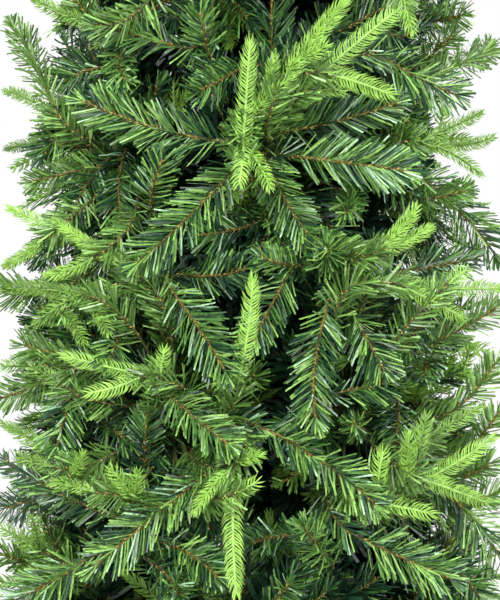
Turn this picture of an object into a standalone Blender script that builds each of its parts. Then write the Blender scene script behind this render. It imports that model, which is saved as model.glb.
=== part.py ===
"""A slim artificial Christmas tree in its four-legged steel stand.

A steel pole stands in the stand's socket. Collars on the pole carry wire boughs in tiers, and each
bough ends where its mass of needle tips begins. A last mass, the leader, stands on the pole's top.
Metres, +Z up, with the origin on the floor under the pole.
"""

import math
import random

import bmesh
import bpy
from mathutils import Matrix, Vector, geometry

# The whole tree
TREE_HEIGHT = 1.80
CROWN_FOOT = 0.165
CROWN_RADIUS = 0.275
LEADER_RADIUS = 0.050
CROWN_FULLNESS = 1.7
CLEARANCE = 0.0003
BORDER = 0.0015
SHARP_ANGLE = math.radians(40)
BOUGH_BERTH = 0.0095
INNER_RADIUS = 0.046

# The tiers of boughs, from the lowest
BOUGHS_IN_TIER = (5, 5, 5, 4, 4)
TIERS = len(BOUGHS_IN_TIER)
FIRST_COLLAR = 0.250
COLLAR_PITCH = 0.212
LOWEST_RISE = math.radians(14)
HIGHEST_RISE = math.radians(44)
RISE_BEND = 1.3
TIER_TURN = 0.10
WAVE_SLOPE = 0.28
BOUGH_SHARE = 0.30
CROWN_MARGIN = 0.003
SHORTEST_BOUGH = 0.020
END_TIP_SHARE = 0.66
BOUGH_RADIUS = 0.0055
STEM_RADIUS = 0.0050
STEM_END_RADIUS = 0.0035

# The pole and its collars
POLE_FOOT = 0.0125
POLE_TOP = 1.215
POLE_JOINTS = (0.56, 0.99)
POLE_RADII = (0.0160, 0.0140, 0.0115)
SWAGE_LENGTH = 0.008
COLLAR_RADIUS = 0.026
COLLAR_HEIGHT = 0.016
POLE_SIDES = 20

# The stand
SOCKET_RADIUS = 0.0215
SOCKET_TOP = 0.185
SOCKET_FLANGE = 0.046
SOCKET_FLANGE_HEIGHT = 0.006
SOCKET_SIDES = 24
LEGS = 4
LEG_TURN = math.radians(45)
LEG_WIDTH = 0.020
LEG_WALL = 0.0025
LEG_TOP = 0.150
LEG_REACH = 0.250
LEG_TAB = 0.018
LEG_TAB_HEIGHT = 0.040
LEG_BAR = 0.052
LEG_BAR_THICKNESS = 0.010
LEG_DEPTH = 0.012
BOOT_LENGTH = 0.046
BOOT_OVERLAP = 0.036
BOOT_WIDTH = 0.030
BOOT_HEIGHT = 0.022
BOOT_SOLE = 0.006
BOOT_ROUNDING = 0.002
SCREWS = 3
SCREW_HEIGHT = 0.168
SCREW_RADIUS = 0.003
SCREW_SIDES = 10
SCREW_REACH = 0.046
WING_HALF_LENGTH = 0.012
WING_RADIUS = 0.0042
CUTTER_REACH = 0.004

# The needle tips
TIP_LENGTH = 0.180
TIP_REACH = 0.047
SPRIG_LENGTH = 0.150
SPRIG_REACH = 0.015
SPRIG_PRONG = 0.034
RING_REACH = (0.85, 1.0, 0.8)
RINGS = len(RING_REACH)
CORE_RADIUS = 0.0050
CORE_END_RADIUS = 0.0022
CORE_SHARE = 0.9
BARE_SHARE = 0.20
ROOT_SINK = 0.006
ROOT_SHARES = (0.18, 0.96)
LEADER_ROOT_SHARES = (0.02, 0.97)
NEEDLE_SWEEP = 0.016
PRONG_SWEEP = 0.042
TIPS_IN_MASS = 9
TIPS_IN_LEADER = 26
SPRIG_EVERY = 4
TIP_SHRINKS = (1.0, 0.85, 0.7, 0.58, 0.46)
SPREADS = (math.radians(38), math.radians(100))
LEADER_SPREADS = (math.radians(18), math.radians(86))
TRIALS = 150
MIDDLE_WEIGHT = 1.5
SEED = 2412

FOLIAGE_GREEN = (0.060, 0.150, 0.035)
WRAP_GREEN = (0.045, 0.085, 0.025)
PAINT_GREEN = (0.020, 0.060, 0.028)
BOOT_BLACK = (0.020, 0.020, 0.020)
SCREW_ZINC = (0.560, 0.560, 0.550)


def crown_radius(height):
    """How far from the pole the needles reach at this height."""
    share = (height - CROWN_FOOT) / (TREE_HEIGHT - CROWN_FOOT)
    share = min(max(share, 0.0), 1.0)
    return LEADER_RADIUS + (CROWN_RADIUS - LEADER_RADIUS) * (1 - share**CROWN_FULLNESS)


def rise(share):
    """How steeply a bough rises, from the lowest tier, share 0, to the highest, share 1."""
    return LOWEST_RISE + (HIGHEST_RISE - LOWEST_RISE) * share**RISE_BEND


def collar_height(tier):
    return FIRST_COLLAR + tier * COLLAR_PITCH


def bough_azimuth(tier, sector):
    """Each tier is turned half a sector from the one below, and a little more."""
    return math.tau * (sector + 0.5 * (tier % 2)) / BOUGHS_IN_TIER[tier] + TIER_TURN * tier - math.pi / 2


def floor_of_tier(tier, radius, azimuth):
    """The height of the surface that parts this tier's space from the one below. It rises outwards, and
    it waves round the tree, up above each bough of the tier below."""
    if tier == 0:
        return CROWN_FOOT
    at_pole = collar_height(tier) - COLLAR_PITCH / 2
    wave = math.cos(BOUGHS_IN_TIER[tier - 1] * (azimuth - bough_azimuth(tier - 1, 0)))
    return at_pole + radius * (math.tan(rise(tier / TIERS)) + WAVE_SLOPE * wave)


def bough_direction(tier, sector):
    azimuth, steepness = bough_azimuth(tier, sector), rise((tier + 0.5) / TIERS)
    flat = math.cos(steepness)
    return Vector((math.cos(azimuth) * flat, math.sin(azimuth) * flat, math.sin(steepness)))


class Space:
    """The room that one mass keeps to: a sector of a tier, with a berth round the sector's bough, or the
    leader's room above all the tiers."""

    def __init__(self, tier, sector=None, bough=None):
        self.tier = tier
        self.azimuth = None if sector is None else bough_azimuth(tier, sector)
        self.half_angle = math.pi if sector is None else math.pi / BOUGHS_IN_TIER[tier]
        self.bough = bough

    def holds(self, point):
        radius, azimuth = math.hypot(point.x, point.y), math.atan2(point.y, point.x)
        if radius > crown_radius(point.z) or point.z > TREE_HEIGHT:
            return False
        if point.z < floor_of_tier(self.tier, radius, azimuth) + BORDER:
            return False
        if self.bough is None:
            return True
        if radius < INNER_RADIUS:
            return False
        foot, tip = self.bough
        along = min(geometry.intersect_point_line(point, foot, tip)[1], 1.0)
        if (point - foot.lerp(tip, along)).length < BOUGH_BERTH:
            return False
        if point.z > floor_of_tier(self.tier + 1, radius, azimuth) - BORDER:
            return False
        turned = abs(math.remainder(azimuth - self.azimuth, math.tau))
        return turned < self.half_angle and radius * math.sin(self.half_angle - turned) > CLEARANCE


def limb_line(tier, sector):
    """The foot of a bough, its tip, its mass's stem end and the furthest needles, on one straight line
    that leaves the middle of the collar's rim."""
    direction = bough_direction(tier, sector)
    run = Vector((direction.x, direction.y)).length
    slope = direction.z / run
    centre = Vector((0, 0, collar_height(tier) - COLLAR_RADIUS * slope))
    reach = 0.0
    while run * reach < crown_radius(centre.z + direction.z * reach):
        reach += CROWN_MARGIN / 3
    foot = (COLLAR_RADIUS + CLEARANCE) / run + BOUGH_RADIUS * slope
    tip = max(BOUGH_SHARE * reach, foot + SHORTEST_BOUGH)
    furthest = reach - CROWN_MARGIN
    stem_end = furthest - min(TIP_LENGTH, END_TIP_SHARE * (furthest - tip))
    return [centre + direction * along for along in (foot, tip, stem_end, furthest)]


def placing(root, end, length, roll):
    """The matrix that lays a template of this length from root to end, rolled about its axis."""
    axis = end - root
    turn = axis.to_track_quat("Z", "Y").to_matrix() @ Matrix.Rotation(roll, 3, "Z")
    return Matrix.Translation(root) @ (turn * (axis.length / length)).to_4x4()


def tip_distance(root, end, other_root, other_end):
    """How far apart two tips stand, by their ends and by their middles."""
    middles = (root + end - other_root - other_end).length / 2
    return min((end - other_end).length, MIDDLE_WEIGHT * middles)


def plan_tips(space, limb, templates, draw):
    """The end tip and the side tips of a mass, as (kind, root, end, roll). Each side tip is the trial
    that stands furthest from the tips before it, among those whose needles all stay in the space."""
    stem_start, stem_end, furthest = limb
    leader = space.bough is None
    count = TIPS_IN_LEADER if leader else TIPS_IN_MASS
    spreads, shares = (LEADER_SPREADS, LEADER_ROOT_SHARES) if leader else (SPREADS, ROOT_SHARES)
    turn = (stem_end - stem_start).to_track_quat("Z", "Y")
    end_root = stem_end + (stem_start - stem_end).normalized() * ROOT_SINK
    tips = [("flat", end_root, furthest, draw.uniform(0, math.tau))]
    for number in range(1, count):
        kind = "sprig" if number % SPRIG_EVERY == 0 else "flat"
        length, points = templates[kind][:2]
        best, best_room = None, 0.0
        for _ in range(TRIALS):
            root = stem_start.lerp(stem_end, draw.uniform(*shares))
            spread = draw.uniform(*spreads)
            roll, twist = draw.uniform(0, math.tau), draw.uniform(0, math.tau)
            across = Vector((math.cos(roll), math.sin(roll), 0)) * math.sin(spread)
            direction = turn @ (across + Vector((0, 0, math.cos(spread))))
            for shrink in TIP_SHRINKS:
                end = root + direction * length * shrink
                if not space.holds(end):
                    continue
                place = placing(root, end, length, twist)
                if all(space.holds(place @ point) for point in points):
                    break
            else:
                continue
            room = shrink * min(tip_distance(root, end, *other[1:3]) for other in tips)
            if room > best_room:
                best, best_room = (kind, root, end, twist), room
        if best:
            tips.append(best)
    return tips


def new_collection(name, parent=None):
    made = bpy.data.collections.new(name)
    (parent or bpy.context.scene.collection).children.link(made)
    return made


def plain_material(name, colour, roughness, metallic=0.0):
    made = bpy.data.materials.new(name)
    made.use_nodes = True
    shader = made.node_tree.nodes["Principled BSDF"]
    shader.inputs["Base Color"].default_value = (*colour, 1.0)
    shader.inputs["Roughness"].default_value = roughness
    shader.inputs["Metallic"].default_value = metallic
    made.diffuse_color = (*colour, 1.0)
    return made


def object_from_bmesh(name, shape, collection, material=None):
    mesh = bpy.data.meshes.new(name)
    shape.to_mesh(mesh)
    shape.free()
    made = bpy.data.objects.new(name, mesh)
    collection.objects.link(made)
    if material:
        mesh.materials.append(material)
    return made


def shade_round(made):
    """Shades the object smooth, but for its sharp edges."""
    made.data.shade_smooth()
    made.data.set_sharp_from_angle(angle=SHARP_ANGLE)
    return made


def tapered_rod(name, start, end, start_radius, end_radius, sides, collection, material=None):
    """A straight rod between two points, capped at both ends."""
    shape = bmesh.new()
    axis = end - start
    bmesh.ops.create_cone(
        shape, cap_ends=True, segments=sides, radius1=start_radius, radius2=end_radius, depth=axis.length
    )
    turn = axis.to_track_quat("Z", "Y").to_matrix().to_4x4()
    bmesh.ops.transform(shape, matrix=Matrix.Translation((start + end) / 2) @ turn, verts=shape.verts)
    return shade_round(object_from_bmesh(name, shape, collection, material))


def turned(name, profile, sides, collection, material):
    """A solid of revolution about Z, whose profile of (radius, height) runs down its outer side."""
    mesh = bpy.data.meshes.new(name)
    points = [(radius, 0, height) for radius, height in profile]
    mesh.from_pydata(points, [(i, i + 1) for i in range(len(points) - 1)], [])
    made = bpy.data.objects.new(name, mesh)
    collection.objects.link(made)
    mesh.materials.append(material)
    screw = made.modifiers.new("turn", "SCREW")
    screw.axis = "Z"
    screw.steps = screw.render_steps = sides
    screw.use_merge_vertices = True
    screw.merge_threshold = 0.00001
    apply_modifiers(made)
    return shade_round(made)


def boolean(target, operation, collection):
    cut = target.modifiers.new(operation.lower(), "BOOLEAN")
    cut.operation = operation
    cut.operand_type = "COLLECTION"
    cut.collection = collection
    return cut


def apply_modifiers(made):
    """Replaces the object's mesh by what its modifiers make of it."""
    graph = bpy.context.evaluated_depsgraph_get()
    mesh = bpy.data.meshes.new_from_object(made.evaluated_get(graph))
    made.modifiers.clear()
    made.data = mesh


def remove_collection(collection):
    for helper in list(collection.objects):
        bpy.data.objects.remove(helper)
    bpy.data.collections.remove(collection)


def make_pole(collection, material):
    """The pole's three swaged sections in one solid, with a collar at the foot of each tier's boughs."""
    profile = [(0, POLE_TOP), (POLE_RADII[2], POLE_TOP)]
    steps = [(collar_height(tier), "collar", None) for tier in range(TIERS)]
    steps += [(height, "joint", section) for section, height in enumerate(POLE_JOINTS)]
    radius = POLE_RADII[2]
    for height, kind, section in sorted(steps, reverse=True):
        if kind == "collar":
            half = COLLAR_HEIGHT / 2
            profile += [(radius, height + half), (COLLAR_RADIUS, height + half)]
            profile += [(COLLAR_RADIUS, height - half), (radius, height - half)]
        else:
            profile += [(radius, height), (POLE_RADII[section], height - SWAGE_LENGTH)]
            radius = POLE_RADII[section]
    profile += [(radius, POLE_FOOT), (0, POLE_FOOT)]
    return turned("pole", profile, POLE_SIDES, collection, material)


def screw_azimuth(number):
    return math.tau * number / SCREWS + math.radians(90)


def make_socket(collection, cutters, material):
    """The stand's upright tube, with a flat foot on the floor and a hole for each thumbscrew."""
    bore = POLE_RADII[0] + CLEARANCE
    floor = POLE_FOOT - CLEARANCE
    profile = [
        (0, floor),
        (bore, floor),
        (bore, SOCKET_TOP),
        (SOCKET_RADIUS, SOCKET_TOP),
        (SOCKET_RADIUS, 2 * SOCKET_FLANGE_HEIGHT),
        (SOCKET_FLANGE, SOCKET_FLANGE_HEIGHT),
        (SOCKET_FLANGE, 0),
        (0, 0),
    ]
    socket = turned("stand_socket", profile, SOCKET_SIDES, collection, material)
    holes = new_collection("thumbscrew_holes", cutters)
    for number in range(SCREWS):
        azimuth = screw_azimuth(number)
        out = Vector((math.cos(azimuth), math.sin(azimuth), 0))
        height = Vector((0, 0, SCREW_HEIGHT))
        hole = tapered_rod(
            f"screw_hole_{number + 1}",
            height + out * (bore - CUTTER_REACH),
            height + out * (SOCKET_RADIUS + CUTTER_REACH),
            SCREW_RADIUS + CLEARANCE,
            SCREW_RADIUS + CLEARANCE,
            SCREW_SIDES,
            holes,
        )
        hole.hide_render = True
        hole.display_type = "WIRE"
    boolean(socket, "DIFFERENCE", holes)
    return socket


def make_screw(number, collection, material):
    """A thumbscrew: a shank that reaches the pole through the socket's wall, and a wing to turn it by."""
    azimuth = screw_azimuth(number)
    out = Vector((math.cos(azimuth), math.sin(azimuth), 0))
    across = Vector((-out.y, out.x, 0))
    height = Vector((0, 0, SCREW_HEIGHT))
    start = height + out * (POLE_RADII[0] + CLEARANCE)
    head = height + out * SCREW_REACH
    name = f"thumbscrew_{number + 1}"
    screw = tapered_rod(name, start, head, SCREW_RADIUS, SCREW_RADIUS, SCREW_SIDES, collection, material)
    wing = new_collection("thumbscrew_wing")
    half_wing = across * WING_HALF_LENGTH
    tapered_rod("wing", head - half_wing, head + half_wing, WING_RADIUS, WING_RADIUS, SCREW_SIDES, wing)
    boolean(screw, "UNION", wing)
    apply_modifiers(screw)
    remove_collection(wing)
    return screw


def flat_outline(name, points, half_thickness, collection):
    """A flat plate in the XZ plane, from a closed outline of (distance from the pole, height)."""
    curve = bpy.data.curves.new(name, "CURVE")
    curve.dimensions = "2D"
    curve.fill_mode = "BOTH"
    curve.extrude = half_thickness
    spline = curve.splines.new("POLY")
    spline.points.add(len(points) - 1)
    for point, (along, height) in zip(spline.points, points):
        point.co = (along, height, 0, 1)
    spline.use_cyclic_u = True
    drawn = bpy.data.objects.new(name, curve)
    collection.objects.link(drawn)
    drawn.rotation_euler = (math.pi / 2, 0, 0)
    bpy.context.view_layer.update()
    mesh = bpy.data.meshes.new_from_object(drawn.evaluated_get(bpy.context.evaluated_depsgraph_get()))
    mesh.transform(drawn.matrix_world)
    bpy.data.objects.remove(drawn)
    welded = bmesh.new()
    welded.from_mesh(mesh)
    bmesh.ops.remove_doubles(welded, verts=welded.verts, dist=0.00001)
    bmesh.ops.recalc_face_normals(welded, faces=welded.faces)
    bpy.data.meshes.remove(mesh)
    return object_from_bmesh(name, welded, collection)


def make_leg(number, collection, cutters, material):
    """A leg of folded sheet steel, open below: a tab on the socket, a slope, and a bar in the boot."""
    root, bar = SOCKET_RADIUS + CLEARANCE, BOOT_SOLE + CLEARANCE
    tab_end, knee, bar_top = root + LEG_TAB, LEG_REACH - LEG_BAR, bar + LEG_BAR_THICKNESS
    outline = [
        (root, LEG_TOP),
        (tab_end, LEG_TOP),
        (knee, bar_top),
        (LEG_REACH, bar_top),
        (LEG_REACH, bar),
        (knee - LEG_DEPTH, bar),
        (root + LEG_DEPTH, LEG_TOP - LEG_TAB_HEIGHT),
        (root, LEG_TOP - LEG_TAB_HEIGHT),
    ]
    leg = flat_outline(f"stand_leg_{number + 1}", outline, LEG_WIDTH / 2, collection)
    leg.data.materials.append(material)
    groove_outline = [
        (root + LEG_WALL, LEG_TOP - LEG_WALL),
        (tab_end - LEG_WALL / 2, LEG_TOP - LEG_WALL),
        (knee - 1.5 * LEG_WALL, bar_top - LEG_WALL / 2),
        (knee - 1.5 * LEG_WALL, -LEG_TAB_HEIGHT),
        (root + LEG_WALL, LEG_TOP - 2 * LEG_TAB_HEIGHT),
    ]
    groove = flat_outline(f"leg_groove_{number + 1}", groove_outline, LEG_WIDTH / 2 - LEG_WALL, cutters)
    groove.hide_render = True
    groove.display_type = "WIRE"
    hollow = leg.modifiers.new("channel", "BOOLEAN")
    hollow.operation = "DIFFERENCE"
    hollow.object = groove
    azimuth = LEG_TURN + math.tau * number / LEGS
    for made in (leg, groove):
        made.rotation_euler = (0, 0, azimuth)
    return leg


def make_box(name, lowest, highest, collection, material=None):
    shape = bmesh.new()
    bmesh.ops.create_cube(shape, size=1.0)
    middle = (Vector(lowest) + Vector(highest)) / 2
    size = Vector(highest) - Vector(lowest)
    bmesh.ops.scale(shape, vec=size, verts=shape.verts)
    bmesh.ops.translate(shape, vec=middle, verts=shape.verts)
    return object_from_bmesh(name, shape, collection, material)


def make_boot(number, collection, cutters, material):
    """A rubber boot over the end of a leg, flat on the floor, with a pocket for the leg's bar."""
    half, inner = BOOT_WIDTH / 2, LEG_REACH - BOOT_OVERLAP
    outer = inner + BOOT_LENGTH
    boot = make_box(
        f"stand_boot_{number + 1}", (inner, -half, 0), (outer, half, BOOT_HEIGHT), collection, material
    )
    soften = boot.modifiers.new("rounded edges", "BEVEL")
    soften.width = BOOT_ROUNDING
    soften.segments = 2
    pocket_half = LEG_WIDTH / 2 + CLEARANCE
    pocket = make_box(
        f"boot_pocket_{number + 1}",
        (inner - CUTTER_REACH, -pocket_half, BOOT_SOLE),
        (LEG_REACH + CLEARANCE, pocket_half, BOOT_SOLE + LEG_BAR_THICKNESS + 2 * CLEARANCE),
        cutters,
    )
    pocket.hide_render = True
    pocket.display_type = "WIRE"
    cut = boot.modifiers.new("pocket", "BOOLEAN")
    cut.operation = "DIFFERENCE"
    cut.object = pocket
    azimuth = LEG_TURN + math.tau * number / LEGS
    for made in (boot, pocket):
        made.rotation_euler = (0, 0, azimuth)
    return boot


def tip_template(kind):
    """A tip that stands up from the origin: its length, the points to test its place by, and its mesh.
    It is a slim core of three sides, bare at its root, whose sides stand out as needles swept towards
    its end. On a moulded sprig the needles are short, and two of the lowest stand out as side prongs."""
    length, reach = (SPRIG_LENGTH, SPRIG_REACH) if kind == "sprig" else (TIP_LENGTH, TIP_REACH)
    core_length = length * CORE_SHARE
    shape = bmesh.new()
    bmesh.ops.create_cone(
        shape, cap_ends=True, segments=3, radius1=CORE_RADIUS, radius2=CORE_RADIUS, depth=core_length
    )
    bmesh.ops.translate(shape, vec=(0, 0, core_length / 2), verts=shape.verts)
    long_edges = [edge for edge in shape.edges if edge.calc_length() > length / 2]
    bmesh.ops.subdivide_edges(shape, edges=long_edges, cuts=RINGS)
    levels = sorted({round(point.co.z, 5) for point in shape.verts})
    for point in shape.verts:
        level = levels.index(round(point.co.z, 5))
        if level:
            point.co.z = core_length * (BARE_SHARE + (1 - BARE_SHARE) * (level - 1) / RINGS)
        if level in (0, len(levels) - 1):
            point.co.xy *= CORE_END_RADIUS / CORE_RADIUS
    shape.normal_update()
    sides = [face for face in shape.faces if abs(face.normal.z) < 0.5]
    sides.sort(key=lambda face: round(face.calc_center_median().z, 5))
    head = max(shape.faces, key=lambda face: face.calc_center_median().z)
    for number, face in enumerate(sides[3:]):
        ring, side = divmod(number, 3)
        prong = kind == "sprig" and ring == 0 and side < 2
        stands_out = SPRIG_PRONG if prong else reach * RING_REACH[ring]
        spike = bmesh.ops.poke(shape, faces=[face], offset=stands_out - CORE_RADIUS / 2)["verts"][0]
        spike.co.z += PRONG_SWEEP if prong else NEEDLE_SWEEP
    bmesh.ops.poke(shape, faces=[head], offset=length * (1 - CORE_SHARE))
    points = [point.co.copy() for point in shape.verts]
    points += [(edge.verts[0].co + edge.verts[1].co) / 2 for edge in shape.edges]
    mesh = bpy.data.meshes.new(f"{kind}_tip")
    shape.to_mesh(mesh)
    shape.free()
    return length, points, mesh


def keep_one_body(made):
    """Drops the loose scraps that a union leaves, so that the mass is one closed body."""
    shape = bmesh.new()
    shape.from_mesh(made.data)
    unseen, bodies = set(shape.verts), []
    while unseen:
        front, body = [unseen.pop()], []
        while front:
            point = front.pop()
            body.append(point)
            for edge in point.link_edges:
                other = edge.other_vert(point)
                if other in unseen:
                    unseen.remove(other)
                    front.append(other)
        bodies.append(body)
    bodies.sort(key=len)
    for scrap in bodies[:-1]:
        bmesh.ops.delete(shape, geom=scrap, context="VERTS")
    shape.to_mesh(made.data)
    shape.free()


def make_mass(name, space, limb, templates, collection, material):
    """A mass of needles: one stem with its tips and sprigs fused on, their roots sunk into the stem."""
    stem_start, stem_end, _ = limb
    tips = plan_tips(space, limb, templates, random.Random(f"{SEED} {name}"))
    mass = tapered_rod(name, stem_start, stem_end, STEM_RADIUS, STEM_END_RADIUS, 5, collection, material)
    growth = new_collection(f"{name}_growth")
    for number, (kind, root, end, roll) in enumerate(tips):
        length, _, template = templates[kind]
        mesh = template.copy()
        mesh.transform(placing(root, end, length, roll))
        growth.objects.link(bpy.data.objects.new(f"{kind}_{number}", mesh))
    boolean(mass, "UNION", growth)
    apply_modifiers(mass)
    remove_collection(growth)
    keep_one_body(mass)


def make_tiers(templates, collection, wrap, foliage):
    """Every bough, and past its tip the mass of needles that it carries."""
    for tier, boughs in enumerate(BOUGHS_IN_TIER):
        for sector in range(boughs):
            foot, tip, stem_end, furthest = limb_line(tier, sector)
            name = f"{tier + 1}_{sector + 1}"
            tapered_rod(f"bough_{name}", foot, tip, BOUGH_RADIUS, STEM_RADIUS, 6, collection, wrap)
            stem_start = tip + (tip - foot).normalized() * CLEARANCE
            space, limb = Space(tier, sector, (foot, tip)), (stem_start, stem_end, furthest)
            make_mass(f"needles_{name}", space, limb, templates, collection, foliage)


def make_leader(templates, collection, foliage):
    """The mass at the tree's top, on a short stem that stands on the pole."""
    foot = Vector((0, 0, POLE_TOP + CLEARANCE))
    stem_end = Vector((0, 0, TREE_HEIGHT - TIP_LENGTH))
    limb = (foot, stem_end, Vector((0, 0, TREE_HEIGHT)))
    make_mass("needles_leader", Space(TIERS), limb, templates, collection, foliage)


def main():
    for old in list(bpy.data.objects):
        bpy.data.objects.remove(old)
    tree = new_collection("christmas_tree")
    cutters = new_collection("cutters")
    cutters.hide_render = True
    paint = plain_material("pole_paint", PAINT_GREEN, 0.45, 0.2)
    wrap = plain_material("bough_wrap", WRAP_GREEN, 0.65)
    foliage = plain_material("needles", FOLIAGE_GREEN, 0.50)
    rubber = plain_material("boot_rubber", BOOT_BLACK, 0.75)
    zinc = plain_material("screw_zinc", SCREW_ZINC, 0.35, 0.9)
    make_pole(tree, paint)
    make_socket(tree, cutters, paint)
    for number in range(LEGS):
        make_leg(number, tree, cutters, paint)
        make_boot(number, tree, cutters, rubber)
    for number in range(SCREWS):
        make_screw(number, tree, zinc)
    templates = {kind: tip_template(kind) for kind in ("flat", "sprig")}
    make_tiers(templates, tree, wrap, foliage)
    make_leader(templates, tree, foliage)


main()
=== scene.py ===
"""The looks of a slim artificial Christmas tree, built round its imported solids.

Each mass of needles becomes the real thing: tips of cut film strips on twisted wire, and moulded
sprigs, that grow on from the boughs by the same seeded rule as the solids. The front of the crown has
tips laid as they show there. The pole, boughs and stand get their finer shapes and finishes.
Metres, +Z up, with the origin on the floor under the pole.
"""

import math
import random
from functools import lru_cache
from typing import NamedTuple

import bmesh
import bpy
import numpy as np
from bpy.props import FloatProperty, FloatVectorProperty, IntProperty, PointerProperty
from mathutils import Matrix, Vector, geometry


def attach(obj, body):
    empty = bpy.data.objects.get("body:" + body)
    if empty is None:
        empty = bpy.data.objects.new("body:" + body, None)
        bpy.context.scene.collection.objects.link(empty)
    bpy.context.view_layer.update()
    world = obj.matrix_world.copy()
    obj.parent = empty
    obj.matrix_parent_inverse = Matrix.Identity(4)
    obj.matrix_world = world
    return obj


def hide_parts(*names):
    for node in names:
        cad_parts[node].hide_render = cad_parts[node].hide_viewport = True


bl_info = {
    "name": "Slim artificial Christmas tree",
    "version": (1, 0, 0),
    "blender": (4, 5, 0),
    "location": "View3D > Sidebar > Tree",
    "description": "Dresses a packed artificial tree with film tips, moulded sprigs, wires and a stand",
    "category": "Object",
}

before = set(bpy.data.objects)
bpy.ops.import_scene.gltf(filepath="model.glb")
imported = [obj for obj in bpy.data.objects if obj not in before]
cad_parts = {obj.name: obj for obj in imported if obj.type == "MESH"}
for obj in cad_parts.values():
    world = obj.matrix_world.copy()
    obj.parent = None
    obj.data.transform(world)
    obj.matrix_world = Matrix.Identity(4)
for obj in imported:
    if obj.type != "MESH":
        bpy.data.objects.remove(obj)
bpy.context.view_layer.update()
ROOT = "root"

# The whole tree
TREE_HEIGHT = 1.80
CROWN_FOOT = 0.165
CROWN_RADIUS = 0.275
LEADER_RADIUS = 0.050
CROWN_FULLNESS = 1.7
CLEARANCE = 0.0003
BORDER = 0.0015
BOUGH_BERTH = 0.0095
INNER_RADIUS = 0.046

# The tiers of boughs, from the lowest
BOUGHS_IN_TIER = (5, 5, 5, 4, 4)
TIERS = len(BOUGHS_IN_TIER)
FIRST_COLLAR = 0.250
COLLAR_PITCH = 0.212
LOWEST_RISE = math.radians(14)
HIGHEST_RISE = math.radians(44)
RISE_BEND = 1.3
TIER_TURN = 0.10
WAVE_SLOPE = 0.28
BOUGH_SHARE = 0.30
CROWN_MARGIN = 0.003
SHORTEST_BOUGH = 0.020
END_TIP_SHARE = 0.66
BOUGH_RADIUS = 0.0055
STEM_END_RADIUS = 0.0035

# The pole and the stand
POLE_FOOT = 0.0125
POLE_TOP = 1.215
POLE_JOINTS = (0.56, 0.99)
POLE_RADII = (0.0160, 0.0140, 0.0115)
COLLAR_RADIUS = 0.026
COLLAR_HEIGHT = 0.016
LEGS = 4
SCREWS = 3

# The rule that deals out the tips of a mass
TIP_LENGTH = 0.180
TIP_REACH = 0.047
SPRIG_LENGTH = 0.150
SPRIG_REACH = 0.015
SPRIG_PRONG = 0.034
RING_REACH = (0.85, 1.0, 0.8)
RINGS = len(RING_REACH)
CORE_SIDES = 3
CORE_RADIUS = 0.0050
CORE_END_RADIUS = 0.0022
CORE_SHARE = 0.9
BARE_SHARE = 0.20
ROOT_SINK = 0.006
ROOT_SHARES = (0.18, 0.96)
LEADER_ROOT_SHARES = (0.02, 0.97)
NEEDLE_SWEEP = 0.016
PRONG_SWEEP = 0.042
TIPS_IN_MASS = 9
TIPS_IN_LEADER = 26
SPRIG_EVERY = 4
TIP_SHRINKS = (1.0, 0.85, 0.7, 0.58, 0.46)
SPREADS = (math.radians(38), math.radians(100))
LEADER_SPREADS = (math.radians(18), math.radians(86))
TRIALS = 150
MIDDLE_WEIGHT = 1.5
SEED = 2412

# The finer tips that each of the rule's tips stands for
SIDE_TIPS = 2
SIDE_TRIALS = 14
SIDE_SPREADS = (math.radians(26), math.radians(58))
SIDE_SHARES = (0.62, 0.86)
SIDE_ROOTS = (0.06, 0.34)
STEM_SHORTFALL = 0.019
END_NEEDLE_SHARE = 0.58
HELD_SHARE = 0.62
SHORT_TIP_EVERY = 6
SPRIG_TIP_EVERY = 9
SHORTENED_NEEDLE = 0.55
FULL_NEEDLE_TIP = 0.22
NEEDLE_RANGE = (0.84, 1.04)
BEND_SHARE = 0.07
BEND_RANGE = (0.2, 1.0)
BARE_LIMB = 0.1
STEM_TIPS = 2
STEM_START = 0.04
STEM_NEEDLE_RANGE = (0.9, 1.1)
TWIG_BARE = 0.35
TWIG_SWEEP = 0.45
TWIG_NEEDLE_SHARE = 0.8
FACE_RISE = 0.9
LEAST_FACE = 0.4

# A moulded sprig's side arms, each as where it forks and how long it is, as shares of the main arm
SIDE_ARMS = ((0.24, 0.46), (0.42, 0.44), (0.58, 0.34))
SIDE_ARM_ANGLES = (36, 48)
SIDE_ARM_LIFTS = (-0.05, 0.30)
SIDE_ARM_RANGE = (0.85, 1.1)
SIDE_ARM_NEEDLE = 0.92

# The tips that fill what room is left, and how dark those near the pole are: tips deep in the crown get
# darker film, a painted shade
FILL_TRIALS = 12000
FILL_ROOM = 0.0275
FILL_DEPTHS = (0.018, 0.150)
CORE_TRIALS = 3000
CORE_ROOM = 0.0225
CORE_DEPTHS = (0.105, 0.200)
FILL_LENGTHS = (0.085, 0.135)
FILL_HEIGHTS = (0.175, 1.70)
FILL_SPRIG_EVERY = 7
FILL_REACH = 0.8
SAMPLES = 5
DIM_DEPTH = 0.060
SHADE_DEPTH = 0.098
SHADE_FULLNESS = 0.70
SHADE_BREADTH = 2.6
SHADE_NEEDLE = 0.040

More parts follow.
